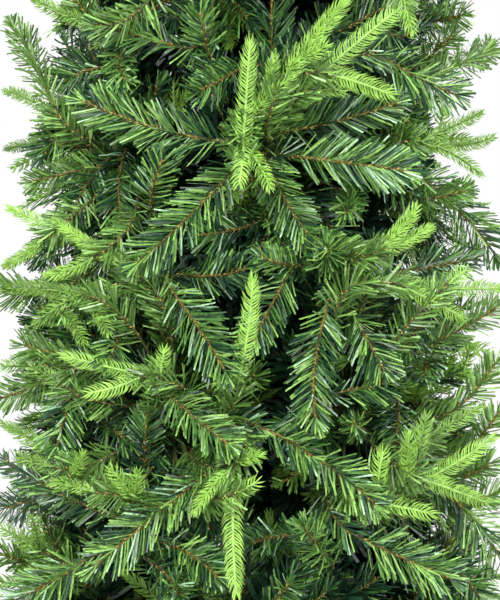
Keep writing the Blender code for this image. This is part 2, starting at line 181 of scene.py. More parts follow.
# The front view, in which places are measured on a plane where the photo's pixel is a millimetre
CAMERA_DISTANCE = 2.0
WINDOW_MIDDLE = 0.600
WINDOW_WIDTH = 0.500
WINDOW_HEIGHT = 0.600
MEASURING_PLANE = 0.105
SEEN_OVERHANG = 0.014
MARCH_STEP = 0.002
FRONT_DEPTH = 0.082
FRONT_FILL_DEPTH = 0.058
FRONT_EDGE = -0.035
TUCKED_DEPTHS = (0.066, 0.095)
TUCKED_MIDDLE = 0.7
FACE_TILT = 0.25
SEEN_FULLNESS = 1.45
SEEN_NEEDLE_SHARE = 0.96
SEEN_NEEDLE_SHARES = {"short": 1.05, "lime": 0.95, "olive": 1.12}
SEEN_EDGE_HEIGHTS = (300, 420, 560, 700, 800, 900)
SEEN_LEFT_EDGES = (234, 228, 214, 208, 188, 180)
SEEN_RIGHT_EDGES = (228, 220, 190, 176, 144, 144)
WINDOW_MARGIN = 0.012

PIECE_LIMIT = 190000
MILLIMETRE = 0.001


def crown_radius(height):
    """How far from the pole the needles reach at this height."""
    share = (height - CROWN_FOOT) / (TREE_HEIGHT - CROWN_FOOT)
    share = min(max(share, 0.0), 1.0)
    return LEADER_RADIUS + (CROWN_RADIUS - LEADER_RADIUS) * (1 - share**CROWN_FULLNESS)


def rise(share):
    """How steeply a bough rises, from the lowest tier, share 0, to the highest, share 1."""
    return LOWEST_RISE + (HIGHEST_RISE - LOWEST_RISE) * share**RISE_BEND


def collar_height(tier):
    return FIRST_COLLAR + tier * COLLAR_PITCH


def bough_azimuth(tier, sector):
    """Each tier is turned half a sector from the one below, and a little more."""
    return math.tau * (sector + 0.5 * (tier % 2)) / BOUGHS_IN_TIER[tier] + TIER_TURN * tier - math.pi / 2


def floor_of_tier(tier, radius, azimuth):
    """The height of the surface that parts this tier's space from the one below. It rises outwards, and
    it waves round the tree, up above each bough of the tier below."""
    if tier == 0:
        return CROWN_FOOT
    at_pole = collar_height(tier) - COLLAR_PITCH / 2
    wave = math.cos(BOUGHS_IN_TIER[tier - 1] * (azimuth - bough_azimuth(tier - 1, 0)))
    return at_pole + radius * (math.tan(rise(tier / TIERS)) + WAVE_SLOPE * wave)


def bough_direction(tier, sector):
    azimuth, steepness = bough_azimuth(tier, sector), rise((tier + 0.5) / TIERS)
    flat = math.cos(steepness)
    return Vector((math.cos(azimuth) * flat, math.sin(azimuth) * flat, math.sin(steepness)))


class Space:
    """The room that one mass keeps to: a sector of a tier, with a berth round the sector's bough, or the
    leader's room above all the tiers."""

    def __init__(self, tier, sector=None, bough=None):
        self.tier = tier
        self.azimuth = None if sector is None else bough_azimuth(tier, sector)
        self.half_angle = math.pi if sector is None else math.pi / BOUGHS_IN_TIER[tier]
        self.bough = bough

    def holds(self, point):
        radius, azimuth = math.hypot(point.x, point.y), math.atan2(point.y, point.x)
        if radius > crown_radius(point.z) or point.z > TREE_HEIGHT:
            return False
        if point.z < floor_of_tier(self.tier, radius, azimuth) + BORDER:
            return False
        if self.bough is None:
            return True
        if radius < INNER_RADIUS:
            return False
        foot, tip = self.bough
        along = min(geometry.intersect_point_line(point, foot, tip)[1], 1.0)
        if (point - foot.lerp(tip, along)).length < BOUGH_BERTH:
            return False
        if point.z > floor_of_tier(self.tier + 1, radius, azimuth) - BORDER:
            return False
        turned = abs(math.remainder(azimuth - self.azimuth, math.tau))
        return turned < self.half_angle and radius * math.sin(self.half_angle - turned) > CLEARANCE


def limb_line(tier, sector):
    """The foot of a bough, its tip, its mass's stem end and the furthest needles, on one straight line
    that leaves the middle of the collar's rim."""
    direction = bough_direction(tier, sector)
    run = Vector((direction.x, direction.y)).length
    slope = direction.z / run
    centre = Vector((0, 0, collar_height(tier) - COLLAR_RADIUS * slope))
    reach = 0.0
    while run * reach < crown_radius(centre.z + direction.z * reach):
        reach += CROWN_MARGIN / 3
    foot = (COLLAR_RADIUS + CLEARANCE) / run + BOUGH_RADIUS * slope
    tip = max(BOUGH_SHARE * reach, foot + SHORTEST_BOUGH)
    furthest = reach - CROWN_MARGIN
    stem_end = furthest - min(TIP_LENGTH, END_TIP_SHARE * (furthest - tip))
    return [centre + direction * along for along in (foot, tip, stem_end, furthest)]


def spread_way(turn, spread, roll):
    """The direction that leaves an axis at the angle of spread, rolled about it."""
    across = Vector((math.cos(roll), math.sin(roll), 0)) * math.sin(spread)
    return turn @ (across + Vector((0, 0, math.cos(spread))))


def placing(root, end, length, roll):
    """The matrix that lays a template of this length from root to end, rolled about its axis."""
    axis = end - root
    turn = axis.to_track_quat("Z", "Y").to_matrix() @ Matrix.Rotation(roll, 3, "Z")
    return Matrix.Translation(root) @ (turn * (axis.length / length)).to_4x4()


def tip_distance(root, end, other_root, other_end):
    """How far apart two tips stand, by their ends and by their middles."""
    middles = (root + end - other_root - other_end).length / 2
    return min((end - other_end).length, MIDDLE_WEIGHT * middles)


def plan_tips(space, limb, templates, draw):
    """The end tip and the side tips of a mass, as (kind, root, end, roll). Each side tip is the trial
    that stands furthest from the tips before it, among those whose needles all stay in the space."""
    stem_start, stem_end, furthest = limb
    leader = space.bough is None
    count = TIPS_IN_LEADER if leader else TIPS_IN_MASS
    spreads, shares = (LEADER_SPREADS, LEADER_ROOT_SHARES) if leader else (SPREADS, ROOT_SHARES)
    turn = (stem_end - stem_start).to_track_quat("Z", "Y")
    end_root = stem_end + (stem_start - stem_end).normalized() * ROOT_SINK
    tips = [("flat", end_root, furthest, draw.uniform(0, math.tau))]
    for number in range(1, count):
        kind = "sprig" if number % SPRIG_EVERY == 0 else "flat"
        length, points = templates[kind]
        best, best_room = None, 0.0
        for _ in range(TRIALS):
            root = stem_start.lerp(stem_end, draw.uniform(*shares))
            spread = draw.uniform(*spreads)
            roll, twist = draw.uniform(0, math.tau), draw.uniform(0, math.tau)
            direction = spread_way(turn, spread, roll)
            for shrink in TIP_SHRINKS:
                end = root + direction * length * shrink
                if not space.holds(end):
                    continue
                place = placing(root, end, length, twist)
                if all(space.holds(place @ point) for point in points):
                    break
            else:
                continue
            room = shrink * min(tip_distance(root, end, *other[1:3]) for other in tips)
            if room > best_room:
                best, best_room = (kind, root, end, twist), room
        if best:
            tips.append(best)
    return tips


def tip_template(kind):
    """The length of the solids' tip of this kind, and the points that its place is tested by."""
    length, reach = (SPRIG_LENGTH, SPRIG_REACH) if kind == "sprig" else (TIP_LENGTH, TIP_REACH)
    core_length = length * CORE_SHARE
    shape = bmesh.new()
    bmesh.ops.create_cone(
        shape, cap_ends=True, segments=CORE_SIDES, radius1=CORE_RADIUS, radius2=CORE_RADIUS, depth=core_length
    )
    bmesh.ops.translate(shape, vec=(0, 0, core_length / 2), verts=shape.verts)
    long_edges = [edge for edge in shape.edges if edge.calc_length() > length / 2]
    bmesh.ops.subdivide_edges(shape, edges=long_edges, cuts=RINGS)
    levels = sorted({round(point.co.z, 5) for point in shape.verts})
    for point in shape.verts:
        level = levels.index(round(point.co.z, 5))
        if level:
            point.co.z = core_length * (BARE_SHARE + (1 - BARE_SHARE) * (level - 1) / RINGS)
        if level in (0, len(levels) - 1):
            point.co.xy *= CORE_END_RADIUS / CORE_RADIUS
    shape.normal_update()
    sides = [face for face in shape.faces if abs(face.normal.z) < 0.5]
    sides.sort(key=lambda face: round(face.calc_center_median().z, 5))
    head = max(shape.faces, key=lambda face: face.calc_center_median().z)
    for number, face in enumerate(sides[CORE_SIDES:]):
        ring, side = divmod(number, CORE_SIDES)
        prong = kind == "sprig" and ring == 0 and side < 2
        stands_out = SPRIG_PRONG if prong else reach * RING_REACH[ring]
        spike = bmesh.ops.poke(shape, faces=[face], offset=stands_out - CORE_RADIUS / 2)["verts"][0]
        spike.co.z += PRONG_SWEEP if prong else NEEDLE_SWEEP
    bmesh.ops.poke(shape, faces=[head], offset=length * (1 - CORE_SHARE))
    points = [point.co.copy() for point in shape.verts]
    points += [(edge.verts[0].co + edge.verts[1].co) / 2 for edge in shape.edges]
    shape.free()
    return length, points


class Mass(NamedTuple):
    """One of the solids' masses: its node, its space, its stem and the tips that the rule deals it."""

    node: str
    space: Space
    foot: Vector
    stem_end: Vector
    tips: list


@lru_cache(maxsize=None)
def masses():
    """All the masses, from the lowest tier to the leader, dealt out as in the solids."""
    templates = {kind: tip_template(kind) for kind in ("flat", "sprig")}
    found = []
    for tier, boughs in enumerate(BOUGHS_IN_TIER):
        for sector in range(boughs):
            foot, tip, stem_end, furthest = limb_line(tier, sector)
            node = f"needles_{tier + 1}_{sector + 1}"
            start = tip + (tip - foot).normalized() * CLEARANCE
            space = Space(tier, sector, (foot, tip))
            tips = plan_tips(space, (start, stem_end, furthest), templates, random.Random(f"{SEED} {node}"))
            found.append(Mass(node, space, foot, stem_end, tips))
    start, stem_end = Vector((0, 0, POLE_TOP + CLEARANCE)), Vector((0, 0, TREE_HEIGHT - TIP_LENGTH))
    limb = (start, stem_end, Vector((0, 0, TREE_HEIGHT)))
    node, space = "needles_leader", Space(TIERS)
    tips = plan_tips(space, limb, templates, random.Random(f"{SEED} {node}"))
    found.append(Mass(node, space, start, stem_end, tips))
    return found


class Spray(NamedTuple):
    """One real tip or sprig arm. Its wire or rib bends gently from root to end, through a middle. Its
    flat side faces the way that face points. Carrier is where its wire is wound on, if it is far, and
    fullness how many needles it has, as a share of the usual."""

    kind: str
    root: Vector
    end: Vector
    middle: Vector
    face: Vector
    needle: float
    carrier: Vector = None
    fullness: float = 1.0


# The kinds of sprays: the needles' lengths, and for film the shares of its deep, middle, bright and
# painted-sheen strips, pale strips that paint highlights on the film
FILM_NEEDLE = 0.034
SHORT_NEEDLE = 0.024
LIME_NEEDLE = 0.0118
OLIVE_NEEDLE = 0.0120
FILM_MIXES = {
    "cool": (0.46, 0.36, 0.11, 0.07),
    "mixed": (0.32, 0.34, 0.30, 0.04),
    "warm": (0.14, 0.40, 0.46, 0.0),
    "pale": (0.26, 0.24, 0.40, 0.10),
    # Dim tips lie deep in the crown and take more deep strips, as painted shade
    "dim": (0.58, 0.36, 0.06, 0.0),
}
RULE_MIXES = ("mixed", "cool", "mixed", "warm", "pale", "mixed", "cool")


class Seen(NamedTuple):
    """A spray as it shows in the front view. Root and end are millimetres right of the pole and above
    the floor on the measuring plane, and sunk is how deep each lies below the crown's surface."""

    kind: str
    root: tuple
    end: tuple
    sunk: tuple
    needle: float


SEEN_FILM = (
    ("mixed", (-20, 758), (-166, 799), (50, 14), 38),
    ("cool", (-160, 795), (-206, 745), (60, 30), 34),
    ("mixed", (-75, 854), (-153, 874), (60, 22), 32),
    ("warm", (-128, 852), (-125, 820), (60, 28), 28),
    ("cool", (-152, 832), (-186, 818), (65, 45), 32),
    ("warm", (-40, 842), (-50, 886), (75, 40), 30),
    ("mixed", (-6, 834), (-50, 810), (60, 22), 30),
    ("pale", (-98, 684), (-87, 742), (80, 40), 32),
    ("mixed", (-7, 740), (-113, 636), (55, 12), 38),
    ("cool", (-148, 735), (-176, 692), (70, 40), 32),
    ("cool", (-123, 754), (-128, 674), (90, 55), 32),
    ("cool", (155, 864), (197, 898), (60, 35), 30),
    ("mixed", (136, 840), (206, 805), (45, 15), 36),
    ("cool", (32, 768), (148, 798), (70, 30), 32),
    ("cool", (150, 790), (166, 770), (60, 45), 28),
    ("pale", (40, 744), (155, 729), (55, 14), 38),
    ("mixed", (158, 730), (246, 644), (40, 12), 36),
    ("mixed", (11, 750), (64, 657), (60, 30), 34),
    ("warm", (85, 638), (78, 652), (90, 5), 36),
    ("mixed", (80, 600), (65, 480), (50, 15), 36),
    ("mixed", (100, 592), (135, 528), (55, 25), 34),
    ("mixed", (42, 632), (2, 558), (60, 30), 34),
    ("cool", (180, 600), (152, 548), (70, 45), 30),
    ("cool", (210, 588), (174, 522), (65, 35), 30),
    ("cool", (158, 630), (222, 641), (60, 30), 30),
    ("mixed", (92, 508), (140, 518), (60, 35), 30),
    ("warm", (98, 704), (95, 686), (90, 35), 26),
    ("pale", (50, 634), (12, 642), (60, 35), 26),
    ("mixed", (-84, 617), (-24, 528), (45, 14), 38),
    ("cool", (-67, 625), (-4, 632), (60, 25), 32),
    ("mixed", (-132, 606), (-144, 582), (60, 40), 28),
    ("pale", (-100, 600), (-112, 610), (80, 35), 26),
    ("mixed", (-127, 574), (-140, 538), (60, 30), 32),
    ("warm", (-86, 512), (-22, 456), (40, 12), 34),
    ("pale", (-170, 528), (-193, 454), (50, 18), 36),
    ("cool", (-103, 414), (-100, 492), (80, 50), 28),
    ("cool", (-154, 484), (-120, 458), (75, 50), 30),
    ("pale", (-28, 438), (-154, 334), (50, 12), 38),
    ("cool", (-135, 383), (-242, 438), (45, 18), 30),
    ("pale", (-164, 340), (-234, 300), (45, 15), 38),
    ("cool", (-218, 401), (-246, 392), (50, 30), 26),
    ("mixed", (-85, 357), (-32, 322), (55, 25), 32),
    ("warm", (-78, 290), (-74, 315), (60, 35), 30),
    ("mixed", (12, 472), (62, 443), (40, 15), 34),
    ("pale", (62, 445), (125, 395), (35, 20), 34),
    ("cool", (148, 502), (147, 466), (70, 45), 30),
    ("pale", (112, 470), (104, 477), (80, 35), 24),
    ("mixed", (202, 402), (252, 338), (40, 12), 38),
    ("warm", (80, 340), (53, 374), (70, 5), 32),
    ("pale", (110, 362), (200, 322), (45, 14), 38),
    ("cool", (32, 364), (2, 357), (65, 45), 30),
    ("cool", (24, 298), (40, 316), (60, 35), 30),
    ("mixed", (210, 328), (230, 302), (45, 25), 34),
    ("cool", (-100, 340), (-70, 304), (60, 30), 32),
    ("cool", (0, 675), (-50, 665), (75, 45), 32),
    ("cool", (96, 872), (150, 905), (85, 60), 32),
    ("cool", (128, 846), (184, 842), (80, 50), 32),
    ("cool", (-105, 884), (-60, 905), (80, 60), 30),
    ("cool", (110, 742), (160, 705), (90, 60), 32),
    ("short", (-195, 792), (-236, 874), (30, 0), 24),
    ("short", (-178, 728), (-220, 718), (50, 20), 20),
    ("short", (199, 832), (240, 852), (30, 5), 24),
    ("short", (186, 850), (204, 863), (40, 20), 20),
    ("short", (190, 880), (212, 885), (35, 10), 22),
    ("short", (212, 572), (246, 592), (30, 5), 24),
    ("short", (216, 500), (245, 536), (30, 5), 24),
    ("short", (228, 460), (249, 488), (30, 5), 22),
    ("short", (214, 422), (240, 437), (35, 10), 22),
    ("short", (-190, 526), (-248, 502), (30, 5), 26),
    ("short", (-190, 546), (-226, 555), (35, 10), 24),
    ("short", (-210, 608), (-246, 610), (35, 5), 26),
    ("short", (-224, 335), (-247, 345), (35, 10), 20),
    ("short", (-155, 875), (-175, 900), (45, 20), 22),
    ("short", (183, 702), (217, 710), (40, 10), 20),
    ("short", (220, 395), (248, 408), (30, 5), 22),
)

SEEN_ARMS = (
    ("lime", (-7, 750), (0, 858), (25, 5), 14),
    ("lime", (-7, 760), (-11, 716), (25, 10), 14),
    ("lime", (0, 750), (20, 712), (25, 8), 13),
    ("lime", (0, 782), (34, 816), (25, 12), 14),
    ("lime", (34, 816), (97, 900), (12, 5), 16),
    ("lime", (50, 840), (75, 854), (15, 5), 14),
    ("lime", (20, 810), (24, 842), (20, 12), 12),
    ("lime", (54, 810), (160, 900), (25, 5), 15),
    ("lime", (78, 826), (142, 805), (15, 8), 15),
    ("olive", (60, 808), (94, 809), (25, 20), 11),
    ("lime", (155, 895), (162, 870), (8, 8), 13),
    ("olive", (171, 758), (232, 787), (35, 5), 10),
    ("olive", (171, 758), (244, 763), (35, 0), 10),
    ("olive", (171, 758), (230, 726), (35, 5), 10),
    ("olive", (-200, 788), (-247, 809), (30, 5), 10),
    ("olive", (-202, 758), (-244, 750), (35, 8), 10),
    ("olive", (-204, 750), (-236, 732), (35, 8), 10),
    ("olive", (-152, 876), (-216, 902), (20, 5), 12),
    ("lime", (-114, 627), (-242, 692), (40, 5), 13),
    ("lime", (-207, 660), (-245, 634), (15, 5), 12),
    ("lime", (-156, 643), (-204, 625), (22, 10), 13),
    ("lime", (-130, 638), (-196, 681), (30, 15), 12),
    ("olive", (-138, 614), (-216, 574), (35, 10), 12),
    ("olive", (-164, 604), (-248, 611), (25, 5), 12),
    ("olive", (-160, 598), (-142, 566), (28, 18), 11),
    ("olive", (-186, 585), (-166, 557), (20, 14), 11),
    ("lime", (-12, 516), (3, 621), (30, 5), 14),
    ("lime", (-14, 520), (-33, 518), (28, 15), 12),
    ("lime", (-88, 520), (-186, 544), (25, 8), 13),
    ("lime", (-110, 522), (-162, 507), (22, 8), 13),
    ("lime", (-90, 522), (-86, 550), (25, 12), 12),
    ("olive", (-114, 397), (-248, 477), (35, 5), 13),
    ("olive", (-196, 433), (-231, 444), (15, 8), 12),
    ("lime", (-155, 408), (-196, 417), (25, 12), 12),
    ("lime", (-178, 425), (-168, 446), (18, 8), 12),
    ("lime", (-116, 400), (-138, 430), (30, 8), 14),
    ("lime", (-116, 400), (-112, 428), (30, 12), 14),
    ("lime", (-16, 438), (-14, 306), (25, 5), 15),
    ("lime", (-20, 430), (-55, 388), (22, 8), 12),
    ("lime", (-14, 438), (10, 444), (20, 8), 13),
    ("lime", (-12, 408), (6, 418), (15, 8), 12),
    ("lime", (126, 401), (244, 463), (30, 5), 15),
    ("lime", (153, 418), (158, 464), (22, 8), 14),
    ("olive", (167, 436), (177, 484), (20, 15), 12),
    ("lime", (128, 408), (133, 448), (28, 12), 14),
    ("lime", (170, 422), (238, 397), (18, 8), 14),
    ("lime", (126, 396), (182, 386), (28, 10), 14),
    ("olive", (183, 463), (230, 493), (35, 8), 11),
    ("lime", (112, 642), (132, 652), (35, 22), 13),
    ("lime", (131, 652), (166, 692), (22, 8), 14),
    ("lime", (135, 650), (180, 672), (22, 10), 13),
    ("lime", (120, 617), (252, 612), (25, 5), 14),
    ("lime", (156, 612), (213, 582), (15, 8), 13),
    ("lime", (198, 616), (216, 630), (8, 5), 13),
    ("olive", (-189, 515), (-218, 533), (30, 15), 12),
    ("olive", (-221, 535), (-247, 534), (18, 5), 11),
    ("olive", (-210, 348), (-218, 383), (30, 10), 12),
    ("olive", (-208, 350), (-248, 372), (30, 5), 12),
)


def camera_place():
    return Vector((0, -CAMERA_DISTANCE, WINDOW_MIDDLE))


def on_crown(across, up, sunk):
    """The point of the front view that lies this deep below the crown's surface, or beside the pole
    where the line of sight misses the crown."""
    start = camera_place()
    through = Vector((across * MILLIMETRE, MEASURING_PLANE, up * MILLIMETRE))
    sight = (through - start).normalized()
    reach = (-start.y) / sight.y
    place = start
    along = reach - CROWN_RADIUS
    while along < reach:
        place = start + sight * along
        if math.hypot(place.x, place.y) <= crown_radius(place.z) - sunk * MILLIMETRE:
            return place
        along += MARCH_STEP
    widest = crown_radius(place.z) + SEEN_OVERHANG - sunk * MILLIMETRE
    place.x = math.copysign(min(abs(place.x), widest), place.x)
    return place


def nearest_stem(point):
    """The nearest place on a bough's wire or on the leader's."""
    places = []
    for mass in masses():
        share = geometry.intersect_point_line(point, mass.foot, mass.stem_end)[1]
        places.append(mass.foot.lerp(mass.stem_end, min(max(share, BARE_LIMB), 1.0)))
    return min(places, key=lambda place: (place - point).length)


def any_vector(draw):
    return Vector((draw.uniform(-1, 1), draw.uniform(-1, 1), draw.uniform(-1, 1)))


def bent(root, end, draw):
    """The middle of a gently bent wire, off the straight line to one side."""
    axis = end - root
    side = axis.cross(any_vector(draw))
    return (root + end) / 2 + side.normalized() * axis.length * BEND_SHARE * draw.uniform(*BEND_RANGE)


def seen_sprays():
    """The front view's own sprays, with their needles shortened where they are nearer the camera."""
    draw = random.Random(f"{SEED} seen")
    found = []
    for seen in map(Seen._make, (*SEEN_FILM, *SEEN_ARMS)):
        root, end = on_crown(*seen.root, seen.sunk[0]), on_crown(*seen.end, seen.sunk[1])
        middle = bent(root, end, draw)
        face = ((camera_place() - middle).normalized() + any_vector(draw) * FACE_TILT).normalized()
        nearness = (middle.y + CAMERA_DISTANCE) / (MEASURING_PLANE + CAMERA_DISTANCE)
        share = SEEN_NEEDLE_SHARES.get(seen.kind, SEEN_NEEDLE_SHARE)
        carrier, needle = nearest_stem(root), seen.needle * MILLIMETRE * share * nearness
        found.append(Spray(seen.kind, root, end, middle, face, needle, carrier, SEEN_FULLNESS))
    return found


def twig_middle(spray):
    """The middle of the wire that leaves the bough and bends into the spray's own."""
    gap = (spray.root - spray.carrier).length
    start = (spray.middle - spray.root).normalized()
    return (spray.carrier + spray.root) / 4 + (spray.root - start * gap * TWIG_SWEEP) / 2


def on_curve(root, middle, end, share):
    """The place at this share of a curve that runs from root through middle to end."""
    control = 2 * middle - (root + end) / 2
    return (1 - share) ** 2 * root + 2 * share * (1 - share) * control + share**2 * end


def twig_film(spray):
    """The film on a seen spray's twig, which starts part of the way along it."""
    twig = (spray.carrier, twig_middle(spray), spray.root)
    start, middle, end = (on_curve(*twig, TWIG_BARE + (1 - TWIG_BARE) * share) for share in (0, 0.5, 1))
    kind = "cool" if spray.kind in FILM_MIXES else "short"
    return Spray(kind, start, end, middle, spray.face, max(spray.needle * TWIG_NEEDLE_SHARE, SHORT_NEEDLE))


def in_front_window(point, depth=FRONT_DEPTH):
    """Whether the point lies in the crown's outer layer, where the front view shows its own sprays."""
    if point.y > FRONT_EDGE or math.hypot(point.x, point.y) < crown_radius(point.z) - depth:
        return False
    seen = seen_place(point)
    across, up = abs(seen.x), abs(seen.z - WINDOW_MIDDLE)
    return across < WINDOW_WIDTH / 2 + WINDOW_MARGIN and up < WINDOW_HEIGHT / 2 + WINDOW_MARGIN


def seen_place(point):
    """Where the point shows on the measuring plane."""
    start = camera_place()
    sight = point - start
    return start + sight * ((MEASURING_PLANE - start.y) / sight.y)


def outward(point, direction):
    """The way that a tip's flat side faces: up and away from the pole."""
    away = Vector((point.x, point.y, 0)).normalized() if point.xy.length > MARCH_STEP else Vector((0, -1, 0))
    face = away + Vector((0, 0, FACE_RISE))
    face -= direction * face.dot(direction)
    if face.length < LEAST_FACE:
        face += away.cross(direction)
    return face.normalized()


def side_tip(mass, root, end, taken, draw):
    """A finer tip that leaves another tip's wire, where it has most room and stays in the mass's space."""
    axis = end - root
    turn = axis.to_track_quat("Z", "Y")
    best, best_room = None, 0.0
    for _ in range(SIDE_TRIALS):
        start = root.lerp(end, draw.uniform(*SIDE_ROOTS))
        direction = spread_way(turn, draw.uniform(*SIDE_SPREADS), draw.uniform(0, math.tau))
        finish = start + direction * axis.length * draw.uniform(*SIDE_SHARES)
        if not mass.space.holds(finish + direction * FILM_NEEDLE * HELD_SHARE):
            continue
        room = min(tip_distance(start, finish, *other) for other in taken)
        if room > best_room:
            best, best_room = (start, finish), room
    return best


def sprig_arms(number, root, end, face, draw):
    """A moulded sprig, lime or olive by turns: its main arm and the shorter ones that fork from it in
    one plane."""
    axis = end - root
    length, along = axis.length, axis.normalized()
    across = along.cross(face).normalized()
    kind, needle = ("lime", LIME_NEEDLE) if number % 2 else ("olive", OLIVE_NEEDLE)
    arms = [Spray(kind, root, end, bent(root, end, draw), face, needle)]
    side = draw.choice((-1, 1))
    for share, reach in SIDE_ARMS:
        start = root + axis * share
        angle = math.radians(draw.uniform(*SIDE_ARM_ANGLES))
        lift = face * draw.uniform(*SIDE_ARM_LIFTS)
        way = (along * math.cos(angle) + across * side * math.sin(angle) + lift).normalized()
        finish = start + way * length * reach * draw.uniform(*SIDE_ARM_RANGE)
        arms.append(Spray(kind, start, finish, bent(start, finish, draw), face, needle * SIDE_ARM_NEEDLE))
        side = -side
    return arms


def film_tip(kind, root, end, face, draw, share=1.0):
    """A tip of cut film, with needles of about the usual length for its kind."""
    needle = (SHORT_NEEDLE if kind == "short" else FILM_NEEDLE) * draw.uniform(*NEEDLE_RANGE) * share
    return Spray(kind, root, end, bent(root, end, draw), face, needle)


def tucked(spray, draw):
    """The spray, bent inwards where the front view shows its own sprays over it or nothing beside it."""
    depth = draw.uniform(*TUCKED_DEPTHS)
    if in_front_window(spray.end) or in_front_window(spray.middle):
        spray = drawn_in(spray, (crown_radius(spray.end.z) - depth) / spray.end.xy.length)
    return held_back(spray)


def drawn_in(spray, share):
    """The spray, with its end moved towards the pole to this share of its reach, if that is less."""
    if share >= 1.0:
        return spray
    end = Vector((spray.end.x * share, spray.end.y * share, spray.end.z))
    return spray._replace(end=end, middle=spray.middle.lerp((spray.root + end) / 2, TUCKED_MIDDLE))


def held_back(spray):
    """The spray, bent inwards where the front view shows nothing beside the crown."""
    seen = seen_place(spray.end)
    if abs(seen.z - WINDOW_MIDDLE) > WINDOW_HEIGHT / 2 + WINDOW_MARGIN:
        return spray
    edges = SEEN_LEFT_EDGES if seen.x < 0 else SEEN_RIGHT_EDGES
    edge = np.interp(seen.z / MILLIMETRE, SEEN_EDGE_HEIGHTS, edges) * MILLIMETRE
    return drawn_in(spray, edge / max(abs(seen.x), MARCH_STEP))


def shaded(spray):
    """The spray, with broader film where it lies deep in the crown, darkened there as painted shade."""
    inner = spray.middle.lerp(spray.end, 0.5)
    depth = crown_radius(inner.z) - math.hypot(inner.x, inner.y)
    if spray.kind in (*FILM_MIXES, "short") and depth > SHADE_DEPTH:
        return spray._replace(kind="shade", needle=SHADE_NEEDLE, fullness=SHADE_FULLNESS)
    if spray.kind in FILM_MIXES and depth > DIM_DEPTH:
        return spray._replace(kind="dim")
    return spray


def samples(spray):
    """Evenly spaced points on the spray's wire, as plain tuples."""
    curve = (spray.root, spray.middle, spray.end)
    return [tuple(on_curve(*curve, step / (SAMPLES - 1))) for step in range(SAMPLES)]


def fill_sprays(taken, draw, trials, least_room, depths):
    """Tips in the room that the others leave, each wound on the nearest bough."""
    found = []
    places = np.array([place for spray in taken for place in samples(spray)])
    for number in range(trials):
        azimuth, height = draw.uniform(0, math.tau), draw.uniform(*FILL_HEIGHTS)
        radius = crown_radius(height) - draw.uniform(*depths)
        length = draw.uniform(*FILL_LENGTHS)
        if radius < INNER_RADIUS / 2:
            continue
        end = Vector((radius * math.cos(azimuth), radius * math.sin(azimuth), height))
        if in_front_window(end, FRONT_FILL_DEPTH):
            continue
        if np.min(np.linalg.norm(places - np.array(end), axis=1)) < least_room:
            continue
        carrier = nearest_stem(end)
        way = (end - carrier).normalized()
        root = end - way * min(length, (end - carrier).length * FILL_REACH)
        face = outward(end, way)
        if number % FILL_SPRIG_EVERY == 0:
            made = sprig_arms(number, root, end, face, draw)
        else:
            kind = "short" if number % SHORT_TIP_EVERY == 0 else draw.choice(RULE_MIXES)
            made = [film_tip(kind, root, end, face, draw)]
        made[0] = held_back(made[0]._replace(carrier=carrier))
        found += made
        places = np.concatenate([places, [place for spray in made for place in samples(spray)]])
    return found


def stem_sprays(draw):
    """The film on the boughs' own wires, in a few lengths each, all of the dark film that paints shade deep
    in the crown.
    """
    found = []
    for mass in masses():
        shares = [STEM_START + (1 - STEM_START) * part / STEM_TIPS for part in range(STEM_TIPS + 1)]
        places = [mass.foot.lerp(mass.stem_end, share) for share in shares]
        for root, end in zip(places, places[1:]):
            face = outward(end, (end - root).normalized())
            needle = SHADE_NEEDLE * draw.uniform(*STEM_NEEDLE_RANGE)
            found.append(Spray("shade", root, end, (root + end) / 2, face, needle))
    return found


def rule_sprays():
    """The sprays that stand for the rule's tips, drawn in behind those of the front view, and the film
    on the boughs' own wires."""
    draw = random.Random(f"{SEED} sprays")
    found = []
    number = 0
    for mass in masses():
        taken = []
        for kind, root, end, _ in mass.tips:
            way = (end - root).normalized()
            if kind == "sprig":
                taken.append((root, end))
                found += sprig_arms(number, root, end, outward(end, way), draw)
                number += 1
                continue
            finish = end - way * min(STEM_SHORTFALL, (end - root).length / 4)
            lines = [(root, finish)]
            taken.append((root, finish))
            for _ in range(SIDE_TIPS):
                side = side_tip(mass, root, finish, taken, draw)
                if side:
                    lines.append(side)
                    taken.append(side)
            for start, stop in lines:
                number += 1
                way = (stop - start).normalized()
                face = outward(stop, way)
                if start != root and number % SPRIG_TIP_EVERY == 0:
                    found += sprig_arms(number, start, stop, face, draw)
                    continue
                tone = "short" if number % SHORT_TIP_EVERY == 0 else RULE_MIXES[number % len(RULE_MIXES)]
                share = min(1.0, SHORTENED_NEEDLE + (stop - start).length / FULL_NEEDLE_TIP)
                found.append(film_tip(tone, start, stop, face, draw, share))
    return [tucked(spray, draw) for spray in found] + stem_sprays(draw)


@lru_cache(maxsize=None)
def sprays():
    """All the tree's tips and arms."""
    seen = seen_sprays()
    ruled = rule_sprays()
    draw = random.Random(f"{SEED} fill")
    filled = fill_sprays(ruled + seen, draw, FILL_TRIALS, FILL_ROOM, FILL_DEPTHS)
    filled += fill_sprays(ruled + seen + filled, draw, CORE_TRIALS, CORE_ROOM, CORE_DEPTHS)
    return [shaded(spray) for spray in ruled + filled] + seen + [twig_film(spray) for spray in seen]


# Many small shapes, joined from arrays


class Pattern(NamedTuple):
    """How the corners of one small shape make its faces."""

    corners: int
    quads: tuple
    triangles: tuple = ()


